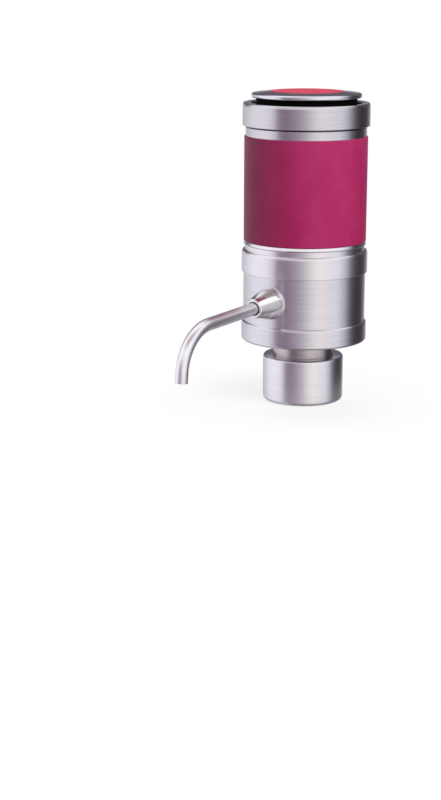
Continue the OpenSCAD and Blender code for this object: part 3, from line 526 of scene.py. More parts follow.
def cell_wrap(name):
    """Foil sleeve of a cell: slate blue with one pale ring near each end."""
    tree = new_finish(name)
    from_middle = abs(tree.place()[2] - (CELL_ROOM_Z0 + CELL_ROOM_Z1) / 2)
    ring = (from_middle > CELL_BAND[0]) * (from_middle < CELL_BAND[1])
    sheen = tree.speckle((0.4, 0.4, 0.08), 3.0)
    foil = tree.mixed(sheen.ease(0.3, 0.7), srgb(38, 52, 78), srgb(58, 76, 104))
    return surface(
        tree,
        Base_Color=tree.mixed(ring, foil, srgb(214, 217, 220)),
        Metallic=0.55,
        Roughness=0.34 + sheen.swing(0.14),
        Normal=tree.bump(sheen, 0.02, 0.3),
    )


STEEL = turned_steel("brushed_ring_steel", srgb(218, 214, 219), srgb(232, 229, 232), 0.23)
# The top ring's steel, with painted shade darkening its seam groove
TOP_STEEL_SEAM_SHADED = turned_steel(
    "brushed_top_steel", srgb(200, 196, 201), srgb(214, 211, 215), 0.22, TOP_Z0 - SEAM_H / 2
)
BARREL_STEEL = turned_steel("brushed_barrel_steel", srgb(207, 204, 209), srgb(222, 220, 225), 0.22)
# Painted shade: a darker copy of the steel for the neck, standing in for the shadow between body and
# collar
SHADED_NECK_STEEL = turned_steel("brushed_neck_steel", srgb(180, 172, 173), srgb(194, 186, 187), 0.26)
CAP_STEEL = turned_steel("brushed_cap_steel", srgb(214, 213, 219), srgb(230, 230, 235), 0.20)
CHROME = polished_steel("polished_ferrule", srgb(238, 235, 236), 0.13)
TUBE_STEEL = polished_steel("drawn_spout_steel", srgb(244, 241, 246), 0.37)
GRIP = soft_grip("magenta_grip", srgb(175, 37, 95), srgb(191, 54, 110))
INLAY = soft_grip("rose_inlay", srgb(214, 60, 86), srgb(232, 78, 104))
BLACK = moulded("moulded_black", srgb(18, 18, 20), srgb(32, 32, 35), 0.5, 4.0, 0.03, 0.4)
# Painted shade: the skirt is real black plastic, made darker and duller here to stand in for the
# shadow in the gap under the cap
SKIRT_SHADE_BLACK = moulded("matt_black_skirt", srgb(5, 5, 6), srgb(10, 10, 12), 0.75, 4.0, 0.03, 0.06)
GREY = moulded("moulded_grey", srgb(112, 114, 118), srgb(134, 136, 140), 0.5, 3.5, 0.03)
RUBBER = moulded("soft_black_rubber", srgb(24, 24, 26), srgb(44, 43, 45), 0.68, 2.2, 0.05)
RED_WIRE = moulded("red_insulation", srgb(150, 22, 26), srgb(186, 38, 40), 0.38, 2.0, 0.02)
BLACK_WIRE = moulded("black_insulation", srgb(22, 22, 24), srgb(42, 42, 44), 0.38, 2.0, 0.02)
SILICONE = clear_silicone("milky_silicone")
BRASS = worked_metal("drawn_brass", srgb(176, 134, 62), srgb(222, 186, 108), 0.3)
COPPER = worked_metal("drawn_copper", srgb(168, 96, 58), srgb(214, 138, 96), 0.32)
MAGNET = moulded("sintered_magnet", srgb(58, 58, 62), srgb(86, 86, 90), 0.55, 1.6, 0.04)
MOTOR_STEEL = worked_metal("zinc_plated_steel", srgb(150, 150, 154), srgb(198, 198, 202), 0.3)
SCREW_STEEL = worked_metal("plated_screw_steel", srgb(168, 168, 172), srgb(214, 214, 218), 0.24)
CELL_FOIL = cell_wrap("cell_foil")
BOARD = circuit_board("green_board")
FINISH_OF_SLOT = {
    "brushed_steel": STEEL,
    "polished_steel": CHROME,
    "spout_steel": TUBE_STEEL,
    "magenta_sleeve": GRIP,
    "magenta_inlay": INLAY,
    "black_plastic": BLACK,
    "grey_plastic": GREY,
    "black_rubber": RUBBER,
    "silicone": SILICONE,
    "brass": BRASS,
    "copper": COPPER,
    "magnet": MAGNET,
    "motor_steel": MOTOR_STEEL,
    "screw_steel": SCREW_STEEL,
    "cell_jacket": CELL_FOIL,
    "board": BOARD,
    "red_lead": RED_WIRE,
    "black_lead": BLACK_WIRE,
}

# Every CAD node that stays gets the finish of its own slot
SLOT_OF_NODE = {}
for node_name, node in frame["nodes"].items():
    for index, old in enumerate(node.data.materials):
        SLOT_OF_NODE[node_name] = old.name.split(".")[0]
        node.data.materials[index] = FINISH_OF_SLOT[SLOT_OF_NODE[node_name]]


# Ways of making a piece

def linked(name, mesh):
    """An object at the origin with its place in its mesh."""
    piece = bpy.data.objects.new(name, mesh)
    bpy.context.scene.collection.objects.link(piece)
    return piece


def add_piece(name, mesh, finish):
    """A piece with its one finish."""
    mesh.materials.clear()
    mesh.materials.append(finish)
    return linked(name, mesh)


def belongs(piece, body, slot, *nodes):
    """Puts a piece on its body and in the place of the CAD nodes that it stands for; its slot is not
    used.
    """
    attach(piece, body)
    if nodes:
        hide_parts(*nodes)


def turn_of(sides):
    """Cosines and sines of a full turn in equal steps."""
    angles = [2 * math.pi * k / sides for k in range(sides)]
    return [(math.cos(angle), math.sin(angle)) for angle in angles]


def rounded(outline, closed=True, hold=0.12, edge=0.12, steps=6):
    """Rounds an outline's (radius, height, rounding) corners, with holding points beside them."""
    points = [Vector(p[:2]) for p in outline]
    roundings = [p[2] if len(p) > 2 else edge for p in outline]
    result = []
    count = len(points)
    for i, corner in enumerate(points):
        at_end = not closed and i in (0, count - 1)
        if at_end or roundings[i] == 0:
            result.append(corner)
            continue
        back = points[i - 1] - corner
        ahead = points[(i + 1) % count] - corner
        half = back.angle(ahead) / 2
        reach = min(roundings[i] / math.tan(half), 0.45 * back.length, 0.45 * ahead.length)
        radius = reach * math.tan(half)
        start = corner + back.normalized() * reach
        end = corner + ahead.normalized() * reach
        inward = (back.normalized() + ahead.normalized()).normalized()
        centre = corner + inward * (radius / math.sin(half))
        if back.length > 3 * (reach + hold):
            result.append(start + back.normalized() * hold)
        arm = start - centre
        sweep = arm.angle_signed(end - centre)
        for k in range(steps + 1):
            angle = -sweep * k / steps
            result.append(centre + Matrix.Rotation(angle, 2) @ arm)
        if ahead.length > 3 * (reach + hold):
            result.append(end + ahead.normalized() * hold)
    return result


def add_wall(shape, low, high):
    """Faces between two rings of as many points."""
    for k in range(len(low)):
        after = (k + 1) % len(low)
        shape.faces.new((low[k], low[after], high[after], high[k]))


def lathe_mesh(name, outline, closed=True, sides=192, placed=Matrix.Identity(4), hold=0.12):
    """Turns an outline in millimetres about Z and returns a smooth mesh in metres."""
    shape = bmesh.new()
    rings = []
    for radius, height in rounded(outline, closed, hold):
        spots = [(0, 0)] if radius < 1e-6 else [(radius * c, radius * s) for c, s in turn_of(sides)]
        rings.append([shape.verts.new((x, y, height)) for x, y in spots])
    pairs = list(zip(rings, rings[1:]))
    if closed:
        pairs.append((rings[-1], rings[0]))
    for low, high in pairs:
        if len(low) == len(high):
            add_wall(shape, low, high)
            continue
        for k in range(sides):
            after = (k + 1) % sides
            if len(low) == 1:
                shape.faces.new((low[0], high[after], high[k]))
            else:
                shape.faces.new((low[k], low[after], high[0]))
    return finish_mesh(name, shape, placed)


def finish_mesh(name, shape, placed=Matrix.Identity(4), sharp=TURNED_SHARP):
    """A mesh in metres from a shape in millimetres, with its faces turned outward."""
    bmesh.ops.recalc_face_normals(shape, faces=shape.faces)
    bmesh.ops.transform(shape, matrix=Matrix.Scale(MM, 4) @ placed, verts=shape.verts)
    return as_mesh(name, shape, sharp)


def as_mesh(name, shape, sharp=None):
    """Writes a shape to a mesh that is smooth except at edges past the sharp angle."""
    mesh = bpy.data.meshes.new(name)
    for face in shape.faces:
        face.smooth = True
    shape.to_mesh(mesh)
    shape.free()
    if sharp:
        mesh.set_sharp_from_angle(angle=math.radians(sharp))
    return mesh


def turned(name, finish, body, slot, node, outline, **how):
    """A piece turned about Z that stands for one CAD node."""
    belongs(add_piece(name, lathe_mesh(name, outline, **how), finish), body, slot, node)


def new_shape(name, numbers, counts=(), switches=()):
    """A Geometry Nodes tree with named inputs, and the sockets that give their values."""
    group = bpy.data.node_groups.new(name, "GeometryNodeTree")
    group.interface.new_socket("Geometry", in_out="INPUT", socket_type="NodeSocketGeometry")
    group.interface.new_socket("Geometry", in_out="OUTPUT", socket_type="NodeSocketGeometry")
    kinds = {
        "NodeSocketFloat": numbers,
        "NodeSocketInt": counts,
        "NodeSocketBool": switches,
        "NodeSocketMaterial": ("Finish",),
    }
    tree = Tree(group)
    for kind, names in kinds.items():
        for size in names:
            made = group.interface.new_socket(size, in_out="INPUT", socket_type=kind)
            tree.identifiers[size] = made.identifier
    return tree, tree.node("NodeGroupInput")


def close_shape(tree, given, geometry):
    """Ends a shape's tree, with copies made real and then its finish, and returns it."""
    real = tree.node("GeometryNodeRealizeInstances", {"Geometry": geometry})[0]
    painted = tree.node("GeometryNodeSetMaterial", {"Geometry": real, "Material": given["Finish"]})
    tree.node("NodeGroupOutput", {0: painted[0]})
    return tree


def round_sweep(tree, path, radius, sides, caps):
    """A circle of given radius and sides swept along a curve."""
    size = {"Resolution": sides, "Radius": radius}
    circle = tree.node("GeometryNodeCurvePrimitiveCircle", size, mode="RADIUS")[0]
    sweep = {"Curve": path, "Profile Curve": circle, "Fill Caps": caps}
    return tree.node("GeometryNodeCurveToMesh", sweep)[0]


def ring_of(tree, given, geometry):
    """Copies of a geometry on a ring about Z, each turned to face outwards."""
    points = tree.node("GeometryNodePoints", {"Count": given["Copies"]})[0]
    index = Num(tree, tree.node("GeometryNodeInputIndex")[0])
    angle = index * (2 * math.pi) / Num(tree, given["Copies"]) + Num(tree, given["First angle"])
    radius = Num(tree, given["Ring radius"])
    spot = tree.joined(angle.maths("COSINE") * radius, angle.maths("SINE") * radius, given["Rise"])
    placed = tree.node("GeometryNodeSetPosition", {"Geometry": points, "Position": spot})[0]
    copies = {"Points": placed, "Instance": geometry, "Rotation": tree.joined(0.0, 0.0, angle)}
    return tree.node("GeometryNodeInstanceOnPoints", copies)[0]


RING_SIZES = ("Ring radius", "First angle", "Rise")


def swept_shape():
    """Tree that sweeps a circle along the chain of edges it is given."""
    tree, given = new_shape("swept round", ("Radius",), ("Sides",), ("Caps",))
    path = tree.node("GeometryNodeMeshToCurve", {0: given["Geometry"]})[0]
    bar = round_sweep(tree, path, given["Radius"], given["Sides"], given["Caps"])
    return close_shape(tree, given, bar)


def coil_shape():
    """Tree that winds a wire of given turns, height and end radii."""
    sizes = ("Turns", "Start radius", "End radius", "Height", "Wire radius", *RING_SIZES)
    tree, given = new_shape("wound wire", sizes, ("Copies",))
    winding = {
        "Resolution": 40,
        "Rotations": given["Turns"],
        "Start Radius": given["Start radius"],
        "End Radius": given["End radius"],
        "Height": given["Height"],
    }
    helix = tree.node("GeometryNodeCurveSpiral", winding)[0]
    wound = round_sweep(tree, helix, given["Wire radius"], 12, True)
    return close_shape(tree, given, ring_of(tree, given, wound))


def copies_shape():
    """Tree that sets copies of the mesh it is given on a ring about Z."""
    tree, given = new_shape("ring of copies", RING_SIZES, ("Copies",))
    return close_shape(tree, given, ring_of(tree, given, given["Geometry"]))


SWEPT = swept_shape()
COIL = coil_shape()
COPIES = copies_shape()


def baked(piece):
    """Keeps what a piece's modifiers give as its plain mesh."""
    bpy.context.view_layer.update()
    seen = bpy.context.evaluated_depsgraph_get()
    result = bpy.data.meshes.new_from_object(piece.evaluated_get(seen))
    result.name = piece.name
    piece.modifiers.clear()
    piece.data = result
    return result


def grown(name, mesh, shape, values, finish):
    """Runs a shape's tree on a mesh with the given values, and keeps the result as a plain mesh."""
    piece = linked(name, mesh)
    growth = piece.modifiers.new(name, "NODES")
    growth.node_group = shape.tree
    for size, value in {**values, "Finish": finish}.items():
        growth[shape.identifiers[size]] = value
    result = baked(piece)
    result.materials.clear()
    result.materials.append(finish)
    for face in result.polygons:
        face.material_index = 0
        face.use_smooth = True
    result.set_sharp_from_angle(angle=math.radians(MADE_SHARP))
    return piece


def swept(name, points, radius, sides, caps, finish):
    """A round bar or tube along points in millimetres."""
    mesh = bpy.data.meshes.new(name)
    edges = [(i, i + 1) for i in range(len(points) - 1)]
    mesh.from_pydata([Vector(p) * MM for p in points], edges, [])
    values = {"Radius": radius * MM, "Sides": sides, "Caps": caps}
    return grown(name, mesh, SWEPT, values, finish)


def ring_values(copies, ring_radius, first_angle, rise):
    """Where copies stand on a ring, from millimetres and degrees."""
    return {
        "Copies": copies,
        "Ring radius": ring_radius * MM,
        "First angle": math.radians(first_angle),
        "Rise": rise * MM,
    }


def ringed(name, mesh, copies, ring_radius, first_angle, rise, finish):
    """Copies of a mesh on a ring, with sizes in millimetres and degrees."""
    values = ring_values(copies, ring_radius, first_angle, rise)
    return grown(name, mesh, COPIES, values, finish)


def coiled(name, turns, radii, z0, room, wire, copies=1, ring_radius=0, first_angle=0):
    """Springs on a ring that fill the room above z0, with sizes in millimetres and degrees."""
    margin = wire + HAIR_GAP
    values = {
        "Turns": turns,
        "Start radius": radii[0] * MM,
        "End radius": radii[1] * MM,
        "Height": (room - 2 * margin) * MM,
        "Wire radius": wire * MM,
        **ring_values(copies, ring_radius, first_angle, z0 + margin),
    }
    return grown(name, bpy.data.meshes.new(name), COIL, values, SCREW_STEEL)


def bored(piece, cutter):
    """Cuts the shape of another mesh out of a piece, and keeps the result as a plain mesh."""
    tool = linked("cutter", cutter)
    cut = piece.modifiers.new("cut", "BOOLEAN")
    cut.operation = "DIFFERENCE"
    cut.solver = "EXACT"
    cut.object = tool
    result = baked(piece)
    bpy.data.objects.remove(tool)
    shape = bmesh.new()
    shape.from_mesh(result)
    bmesh.ops.dissolve_degenerate(shape, dist=WELD * MM, edges=shape.edges)
    shape.to_mesh(result)
    shape.free()
    result.set_sharp_from_angle(angle=math.radians(TURNED_SHARP))
    return piece


def joined_pieces(name, pieces):
    """One plain mesh object from several."""
    shape = bmesh.new()
    finish = pieces[0].data.materials[0]
    for piece in pieces:
        shape.from_mesh(piece.data)
        bpy.data.objects.remove(piece)
    return add_piece(name, as_mesh(name, shape, MADE_SHARP), finish)


# Inner solids

def stepped_skirt(shape):
    """Steps the button's skirt in above its well, so that the cap overhangs it."""
    for height in (SKIRT_STEP_Z0, SKIRT_STEP_Z1):
        everything = shape.verts[:] + shape.edges[:] + shape.faces[:]
        level = (0, 0, height * MM)
        bmesh.ops.bisect_plane(shape, geom=everything, plane_co=level, plane_no=(0, 0, 1))
    for vert in shape.verts:
        radius = vert.co.to_2d().length
        if radius > SKIRT_IN * MM and vert.co.z > (SKIRT_STEP_Z1 - 0.01) * MM:
            vert.co.xy *= 1 - SKIRT_STEP * MM / radius


def mark_outer(shape, radius):
    """Marks the sharp edges that lie on an outer radius as the ones to ease."""
    marks = shape.edges.layers.float.new("bevel_weight_edge")
    for edge in shape.edges:
        sharp = len(edge.link_faces) == 2 and edge.calc_face_angle() > math.radians(MADE_SHARP)
        outside = all(vert.co.to_2d().length > (radius - 0.1) * MM for vert in edge.verts)
        edge[marks] = float(sharp and outside)


def eased(node_name, piece_name, width, finish=None, reshape=None, flat=0.5, outer=None):
    """An inner solid with its sharp edges, or only those at an outer radius, eased by width."""
    node = frame["nodes"][node_name]
    shape = bmesh.new()
    shape.from_mesh(node.data)
    bmesh.ops.remove_doubles(shape, verts=shape.verts, dist=WELD * MM)
    bmesh.ops.dissolve_limit(
        shape, angle_limit=math.radians(flat), verts=shape.verts, edges=shape.edges
    )
    if reshape:
        reshape(shape)
    if outer:
        mark_outer(shape, outer)
    slot = SLOT_OF_NODE[node_name]
    piece = add_piece(piece_name, as_mesh(piece_name, shape), finish or FINISH_OF_SLOT[slot])
    ease = piece.modifiers.new("ease", "BEVEL")
    ease.width = width * MM
    ease.segments = 2
    ease.limit_method = "WEIGHT" if outer else "ANGLE"
    ease.use_clamp_overlap = not outer
    ease.angle_limit = math.radians(MADE_SHARP)
    ease.harden_normals = True
    belongs(piece, node.parent.name.split(":")[1], slot, node_name)


def make_inner_solids():
    """Moulded parts that show when the shell is lifted, and the small rubber parts of the pump."""
    # The button's skirt wears the painted-shade black
    eased("button_plunger", "matt_button_skirt", 0.2, SKIRT_SHADE_BLACK, stepped_skirt, flat=2.0)
    eased("cell_carrier", "moulded_cell_carrier", 0.3, outer=CARRIER_R)
    eased("carrier_lid", "moulded_lid", 0.3)
    eased("grip_barrel", "moulded_barrel", 0.25)
    eased("top_deck", "moulded_deck", 0.2)
    eased("motor_end_cap", "moulded_end_cap", 0.2)
    eased("contact_rings", "pressed_contact_rings", 0.1)
    eased("contact_pins", "turned_contact_pins", 0.15)
    eased("air_valve", "duckbill_valve", 0.2)
    eased("air_hose", "soft_air_hose", 0.15)
    eased("diaphragm", "soft_diaphragm", 0.2)
    eased("pump_valves", "soft_pump_valves", 0.15)


# Collar and neck

def make_collar():
    """Steel collar, ribbed rubber liner, gasket and the turned neck above them."""
    collar_in = COLLAR_R - COLLAR_WALL
    plate_z0 = COLLAR_H - COLLAR_WALL
    turned("steel_collar", STEEL, "lower_unit", "brushed_steel", "collar_shell", [
        (SOCKET_R, 0, 0.3), (COLLAR_R, 0, 2.4), (COLLAR_R, COLLAR_H, 1.2),
        (SPIGOT_R + FIT, COLLAR_H), (SPIGOT_R + FIT, plate_z0), (collar_in, plate_z0),
        (collar_in, LIP_T), (SOCKET_R, LIP_T, 0.3),
    ])

    ribs = []
    for k in range(RIB_COUNT):
        low = LIP_T + RIB_STEP * k
        ribs += [
            (SOCKET_R + RIB_DEPTH, low + 0.25, 0.15), (SOCKET_R, low + 0.7, 0.2),
            (SOCKET_R, low + 1.4, 0.2), (SOCKET_R + RIB_DEPTH, low + RIB_STEP - 0.2, 0.15),
        ]
    seat_r = collar_in - FIT
    liner = [(seat_r, LINER_TOP), (seat_r, LIP_T), *ribs]
    turned("ribbed_liner", RUBBER, "lower_unit", "black_rubber", "collar_liner", liner, hold=0.02)

    turned("socket_gasket", SILICONE, "lower_unit", "silicone", "bottle_gasket", [
        (NECK_BORE_R, LINER_TOP, 0.4),
        (GASKET_GROOVE_R - GASKET_GROOVE_W / 2, LINER_TOP, 0.1),
        (GASKET_GROOVE_R, LINER_TOP + GASKET_GROOVE_DEPTH, 0.1),
        (GASKET_GROOVE_R + GASKET_GROOVE_W / 2, LINER_TOP, 0.1),
        (seat_r, LINER_TOP, 0.2), (seat_r, GASKET_TOP, 0.3), (NECK_BORE_R, GASKET_TOP, 0.4),
    ])

    neck_z0 = COLLAR_H - LOWER_SPIGOT_L
    neck_z1 = BODY_Z0 + UPPER_SPIGOT_L
    # The neck takes the darker steel, which is painted shade
    turned("turned_neck", SHADED_NECK_STEEL, "lower_unit", "brushed_steel", "adaptor_neck", [
        (NECK_BORE_R, neck_z0), (SPIGOT_R, neck_z0, 0.3), (SPIGOT_R, COLLAR_H), (NECK_R, COLLAR_H),
        (NECK_R, BODY_Z0), (SPIGOT_R, BODY_Z0), (SPIGOT_R, neck_z1, 0.3), (NECK_BORE_R, neck_z1),
    ])


# Body

def shoulder(top, inner):
    """Upper edge of a raised ring: a slight slope that catches the light, then a step in."""
    return [
        (RING_R, top - 1.3, 0.4), (RING_R - 0.26, top - 0.32, 0.3),
        (RING_R - 0.62, top, 0.2), (inner, top, 0.05),
    ]


def lug_mesh(name):
    """A lug that fills part of the coupling ring, with a screw hole through it."""
    shape = bmesh.new()
    half = math.radians(LUG_SPAN) / 2
    steps = 8
    turns = [half * (2 * k / steps - 1) for k in range(steps + 1)]
    rim = [(LUG_OUT * math.cos(a), LUG_OUT * math.sin(a)) for a in turns]
    rim += [(LUG_IN * math.cos(a), LUG_IN * math.sin(a)) for a in reversed(turns)]
    hole = [(CHASSIS_SCREW_R + SCREW_HOLE_R * c, SCREW_HOLE_R * s) for c, s in turn_of(16)]
    levels = []
    for height in (LUG_Z0, LUG_Z1):
        loops = [[shape.verts.new((x, y, height)) for x, y in loop] for loop in (rim, hole)]
        edges = []
        for loop in loops:
            edges += [shape.edges.new((a, b)) for a, b in zip(loop, loop[1:] + loop[:1])]
        bmesh.ops.triangle_fill(shape, edges=edges, use_beauty=True)
        levels.append(loops)
    for low, high in zip(*levels):
        add_wall(shape, low, high)
    return finish_mesh(name, shape)


def make_body():
    """Lower barrel with its raised ring, coupling ring, soft grip and top ring."""
    floor_z1 = BODY_Z0 + HOUSING_FLOOR_T
    barrel = lathe_mesh("barrel", [
        (SPIGOT_R + FIT, BODY_Z0), (RING_R, BODY_Z0, 1.3), *shoulder(BARREL_Z0, SHELL_R),
        (SHELL_R, BARREL_Z1), (HOUSING_IN, BARREL_Z1), (HOUSING_IN, floor_z1, 0.5),
        (SPIGOT_R + FIT, floor_z1),
    ])
    hole = lathe_mesh("hole", [
        (0, -2 * SHANK_L, 0), (SHANK_HOLE_R, -2 * SHANK_L, 0), (SHANK_HOLE_R, SHANK_L, 0),
        (0, SHANK_L, 0),
    ], closed=False, sides=64, placed=spout_frame())
    housing = bored(add_piece("lower_barrel", barrel, BARREL_STEEL), hole)
    belongs(housing, "lower_unit", "brushed_steel", "lower_housing")

    lap_z0 = BARREL_Z1 - COUPLING_LAP
    seat_z0 = GRIP_Z0 - GRIP_SEAT_H
    coupling = lathe_mesh("coupling", [
        (COUPLING_IN, lap_z0), (HOUSING_IN - FIT, lap_z0), (HOUSING_IN - FIT, BARREL_Z1),
        (RING_R, BARREL_Z1, 0.3), *shoulder(MIDDLE_Z1, BAND_R),
        (BAND_R, GRIP_Z0 - 1.9, 0.3), (BAND_R + 0.75, GRIP_Z0 - 1.35, 0.15),
        (BAND_R + 0.2, GRIP_Z0, 0.12), (GRIP_CORE_R + 2 * FIT, GRIP_Z0),
        (GRIP_CORE_R + 2 * FIT, seat_z0), (COUPLING_IN, seat_z0),
    ])
    lugs = ringed("lugs", lug_mesh("lug"), LUG_COUNT, 0, LUG_FIRST, 0, STEEL)
    band = joined_pieces("coupling_band", [add_piece("band", coupling, STEEL), lugs])
    belongs(band, "lower_unit", "brushed_steel", "coupling_ring")

    sleeve_z0 = GRIP_Z0 + GRIP_GAP
    turned("soft_sleeve", GRIP, "upper_shell", "magenta_sleeve", "grip_sleeve", [
        (GRIP_CORE_R, sleeve_z0), (SHELL_R, sleeve_z0, 0.3), (SHELL_R, GRIP_Z1, 0.3),
        (GRIP_CORE_R, GRIP_Z1),
    ])

    seam_z0 = TOP_Z0 - SEAM_H
    well_z0 = TOP_Z1 - WELL_H
    turned("top_ring", TOP_STEEL_SEAM_SHADED, "upper_shell", "brushed_steel", "top_bezel", [
        (GRIP_CORE_R + FIT, GRIP_Z1), (BAND_R, GRIP_Z1), (BAND_R, seam_z0),
        (BAND_R - SEAM_DEPTH, seam_z0, 0.05), (BAND_R - SEAM_DEPTH, TOP_Z0, 0.05),
        (RING_R, TOP_Z0, 0.3), *shoulder(TOP_Z1, WELL_R + 0.4),
        (WELL_R, TOP_Z1 - 0.35, 0.15), (WELL_R, well_z0), (WELL_R + 0.6, well_z0),
        (WELL_R + 0.6, TOP_Z0), (GRIP_CORE_R + FIT, TOP_Z0),
    ])


# Button

def make_button():
    """Crowned steel cap with its domed inlay, and the spring that lifts them."""
    seat_z = BUTTON_TOP - INLAY_T
    turned("button_top", CAP_STEEL, "button", "brushed_steel", "button_cap", [
        (0, BUTTON_Z0), (BUTTON_R - 1.6, BUTTON_Z0, 0.2), (BUTTON_R - 0.4, BUTTON_Z0 + 0.25, 0.3),
        (BUTTON_R, BUTTON_Z0 + 0.8, 0.5), (BUTTON_R - 0.1, BUTTON_Z1 - 0.4, 0.4),
        (BUTTON_R - 0.85, BUTTON_Z1 + 0.05, 0.5), (INLAY_R + FIT, BUTTON_TOP),
        (INLAY_R + FIT, seat_z, 0), (0, seat_z),
    ], closed=False)

    turned("domed_inlay", INLAY, "button", "magenta_inlay", "button_inlay", [
        (0, seat_z), (INLAY_R, seat_z, 0), (INLAY_R, BUTTON_TOP + 0.04, 0.18),
        (INLAY_R * 0.83, BUTTON_TOP + 0.11, 2), (INLAY_R * 0.5, BUTTON_TOP + 0.19, 2),
        (0, BUTTON_TOP + 0.24),
    ], closed=False)

    height = PLUNGER_PLATE_Z0 - BOARD_TOP
    radii = (RETURN_SPRING_R, RETURN_SPRING_R)
    spring = coiled("return_spring", RETURN_SPRING_TURNS, radii, BOARD_TOP, height, RETURN_WIRE_R)
    belongs(spring, "upper_shell", "screw_steel", "button_spring")
    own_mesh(spring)


# Spout

def spout_frame():
    """Frame with its Z along the spout's axis, its origin on the barrel and its Y upward."""
    tilt = Matrix.Rotation(math.pi / 2 + SPOUT_DROOP, 4, "X")
    return Matrix.Translation((0, -SHELL_R, SPOUT_Z)) @ tilt


def spout_path():
    """Points down the middle of the tube: straight, round the bend, then the short straight end."""
    straight = [Vector((0, 0, z)) for z in (-SPOUT_GRIP, 0, SPOUT_REACH - 1)]
    bend = []
    for k in range(BEND_STEPS + 1):
        angle = BEND_ANGLE * k / BEND_STEPS
        drop = BEND_R * (math.cos(angle) - 1)
        bend.append(Vector((0, drop, SPOUT_REACH + BEND_R * math.sin(angle))))
    along = Vector((0, -math.sin(BEND_ANGLE), math.cos(BEND_ANGLE)))
    end = [bend[-1] + along * SPOUT_END * part for part in (0.25, 1.0)]
    return [spout_frame() @ p for p in straight + bend + end]


def make_spout():
    """Polished cone ferrule, its seal ring and the bent tube that turns in it."""
    lip_z = FERRULE_L - FERRULE_LIP
    seat_z = FERRULE_L - SEAL_SEAT_L
    cone = lathe_mesh("cone", [
        (SPOUT_R + FIT, -FERRULE_ROOT), (FERRULE_BASE_R, -FERRULE_ROOT), (FERRULE_BASE_R, 0.3, 1.5),
        (FERRULE_BASE_R - 0.55, 2.7, 4), (FERRULE_TIP_R, FERRULE_L - 0.35, 0.25),
        (FERRULE_TIP_R - 0.35, FERRULE_L, 0.15), (SPOUT_R + SPOUT_GAP, FERRULE_L, 0.15),
        (SPOUT_R + SPOUT_GAP, lip_z, 0.05), (SEAL_SEAT_R, lip_z, 0.05), (SEAL_SEAT_R, seat_z, 0.05),
        (SPOUT_R + FIT, seat_z, 0.05),
    ], sides=96, placed=spout_frame())
    seat_r = SHELL_R + HAIR_GAP
    seat = lathe_mesh("seat", [
        (0, BARREL_Z0, 0), (seat_r, BARREL_Z0, 0), (seat_r, BARREL_Z1, 0), (0, BARREL_Z1, 0),
    ], closed=False, sides=384)
    shank = lathe_mesh("shank", [
        (SPOUT_R + FIT, -SHANK_L, 0.2), (SHANK_R, -SHANK_L, 0.4), (SHANK_R, SHANK_TOP),
        (SPOUT_R + FIT, SHANK_TOP),
    ], sides=64, placed=spout_frame())
    ferrule = joined_pieces("cone_ferrule", [
        bored(add_piece("cone", cone, CHROME), seat), add_piece("shank", shank, CHROME),
    ])
    belongs(ferrule, "lower_unit", "polished_steel", "spout_ferrule")

    middle = FERRULE_L - SEAL_SEAT_L / 2
    ring = [(SEAL_MID_R + SEAL_WIRE_R * c, middle + SEAL_WIRE_R * s, 0) for c, s in turn_of(16)]
    turned(
        "seal_ring", RUBBER, "lower_unit", "black_rubber", "spout_seal", ring,
        sides=64, placed=spout_frame(),
    )

    tube = swept("bent_tube", spout_path(), SPOUT_R, 48, False, TUBE_STEEL)
    wall = tube.modifiers.new("wall", "SOLIDIFY")
    wall.thickness = SPOUT_WALL * MM
    wall.offset = -1
    wall.use_even_offset = True
    rim = tube.modifiers.new("rim", "BEVEL")
    rim.width = SPOUT_RIM * MM
    rim.segments = 3
    rim.limit_method = "ANGLE"
    rim.angle_limit = math.radians(RIM_SHARP)
    belongs(tube, "spout", "spout_steel", "spout_tube")


# Screws, cells and leads inside

def screw_mesh(name, length, upside_down):
    """Pan-head screw with a cross recess, head's underside at zero and its shank below."""
    shape = bmesh.new()
    sides = turn_of(24)
    levels = [
        (SCREW_SHANK_R * 0.6, -length), (SCREW_SHANK_R, -length + 0.4), (SCREW_SHANK_R, 0),
        (SCREW_HEAD_R * 0.97, 0), (SCREW_HEAD_R, 0.12), (SCREW_HEAD_R, SCREW_HEAD_H * 0.5),
        (SCREW_HEAD_R * 0.93, SCREW_HEAD_H * 0.8), (SCREW_HEAD_R * 0.78, SCREW_HEAD_H),
    ]
    rings = []
    for radius, height in levels:
        rings.append([shape.verts.new((radius * c, radius * s, height)) for c, s in sides])
    for low, high in zip(rings, rings[1:]):
        add_wall(shape, low, high)
    shape.faces.new(list(reversed(rings[0])))
    cross = []
    arm = SCREW_HEAD_R * 0.62
    for quarter in range(4):
        turn = Matrix.Rotation(quarter * math.pi / 2, 3, "Z")
        for x, y in ((arm, -SCREW_SLOT), (arm, SCREW_SLOT), (SCREW_SLOT, SCREW_SLOT)):
            cross.append(turn @ Vector((x, y, 0)))
    rim = [shape.verts.new((p.x, p.y, SCREW_HEAD_H)) for p in cross]
    depth = SCREW_HEAD_H - SCREW_SLOT_DEPTH
    floor = [shape.verts.new((p.x * 0.8, p.y * 0.8, depth)) for p in cross]
    edges = []
    for chain in (rim, rings[-1]):
        for pair in zip(chain, chain[1:] + chain[:1]):
            edges.append(shape.edges.get(pair) or shape.edges.new(pair))
    bmesh.ops.triangle_fill(shape, edges=edges, use_beauty=True)
    add_wall(shape, rim, floor)
    shape.faces.new(floor)
    if upside_down:
        bmesh.ops.transform(shape, matrix=Matrix.Rotation(math.pi, 4, "X"), verts=shape.verts)
    return finish_mesh(name, shape, sharp=SCREW_SHARP)


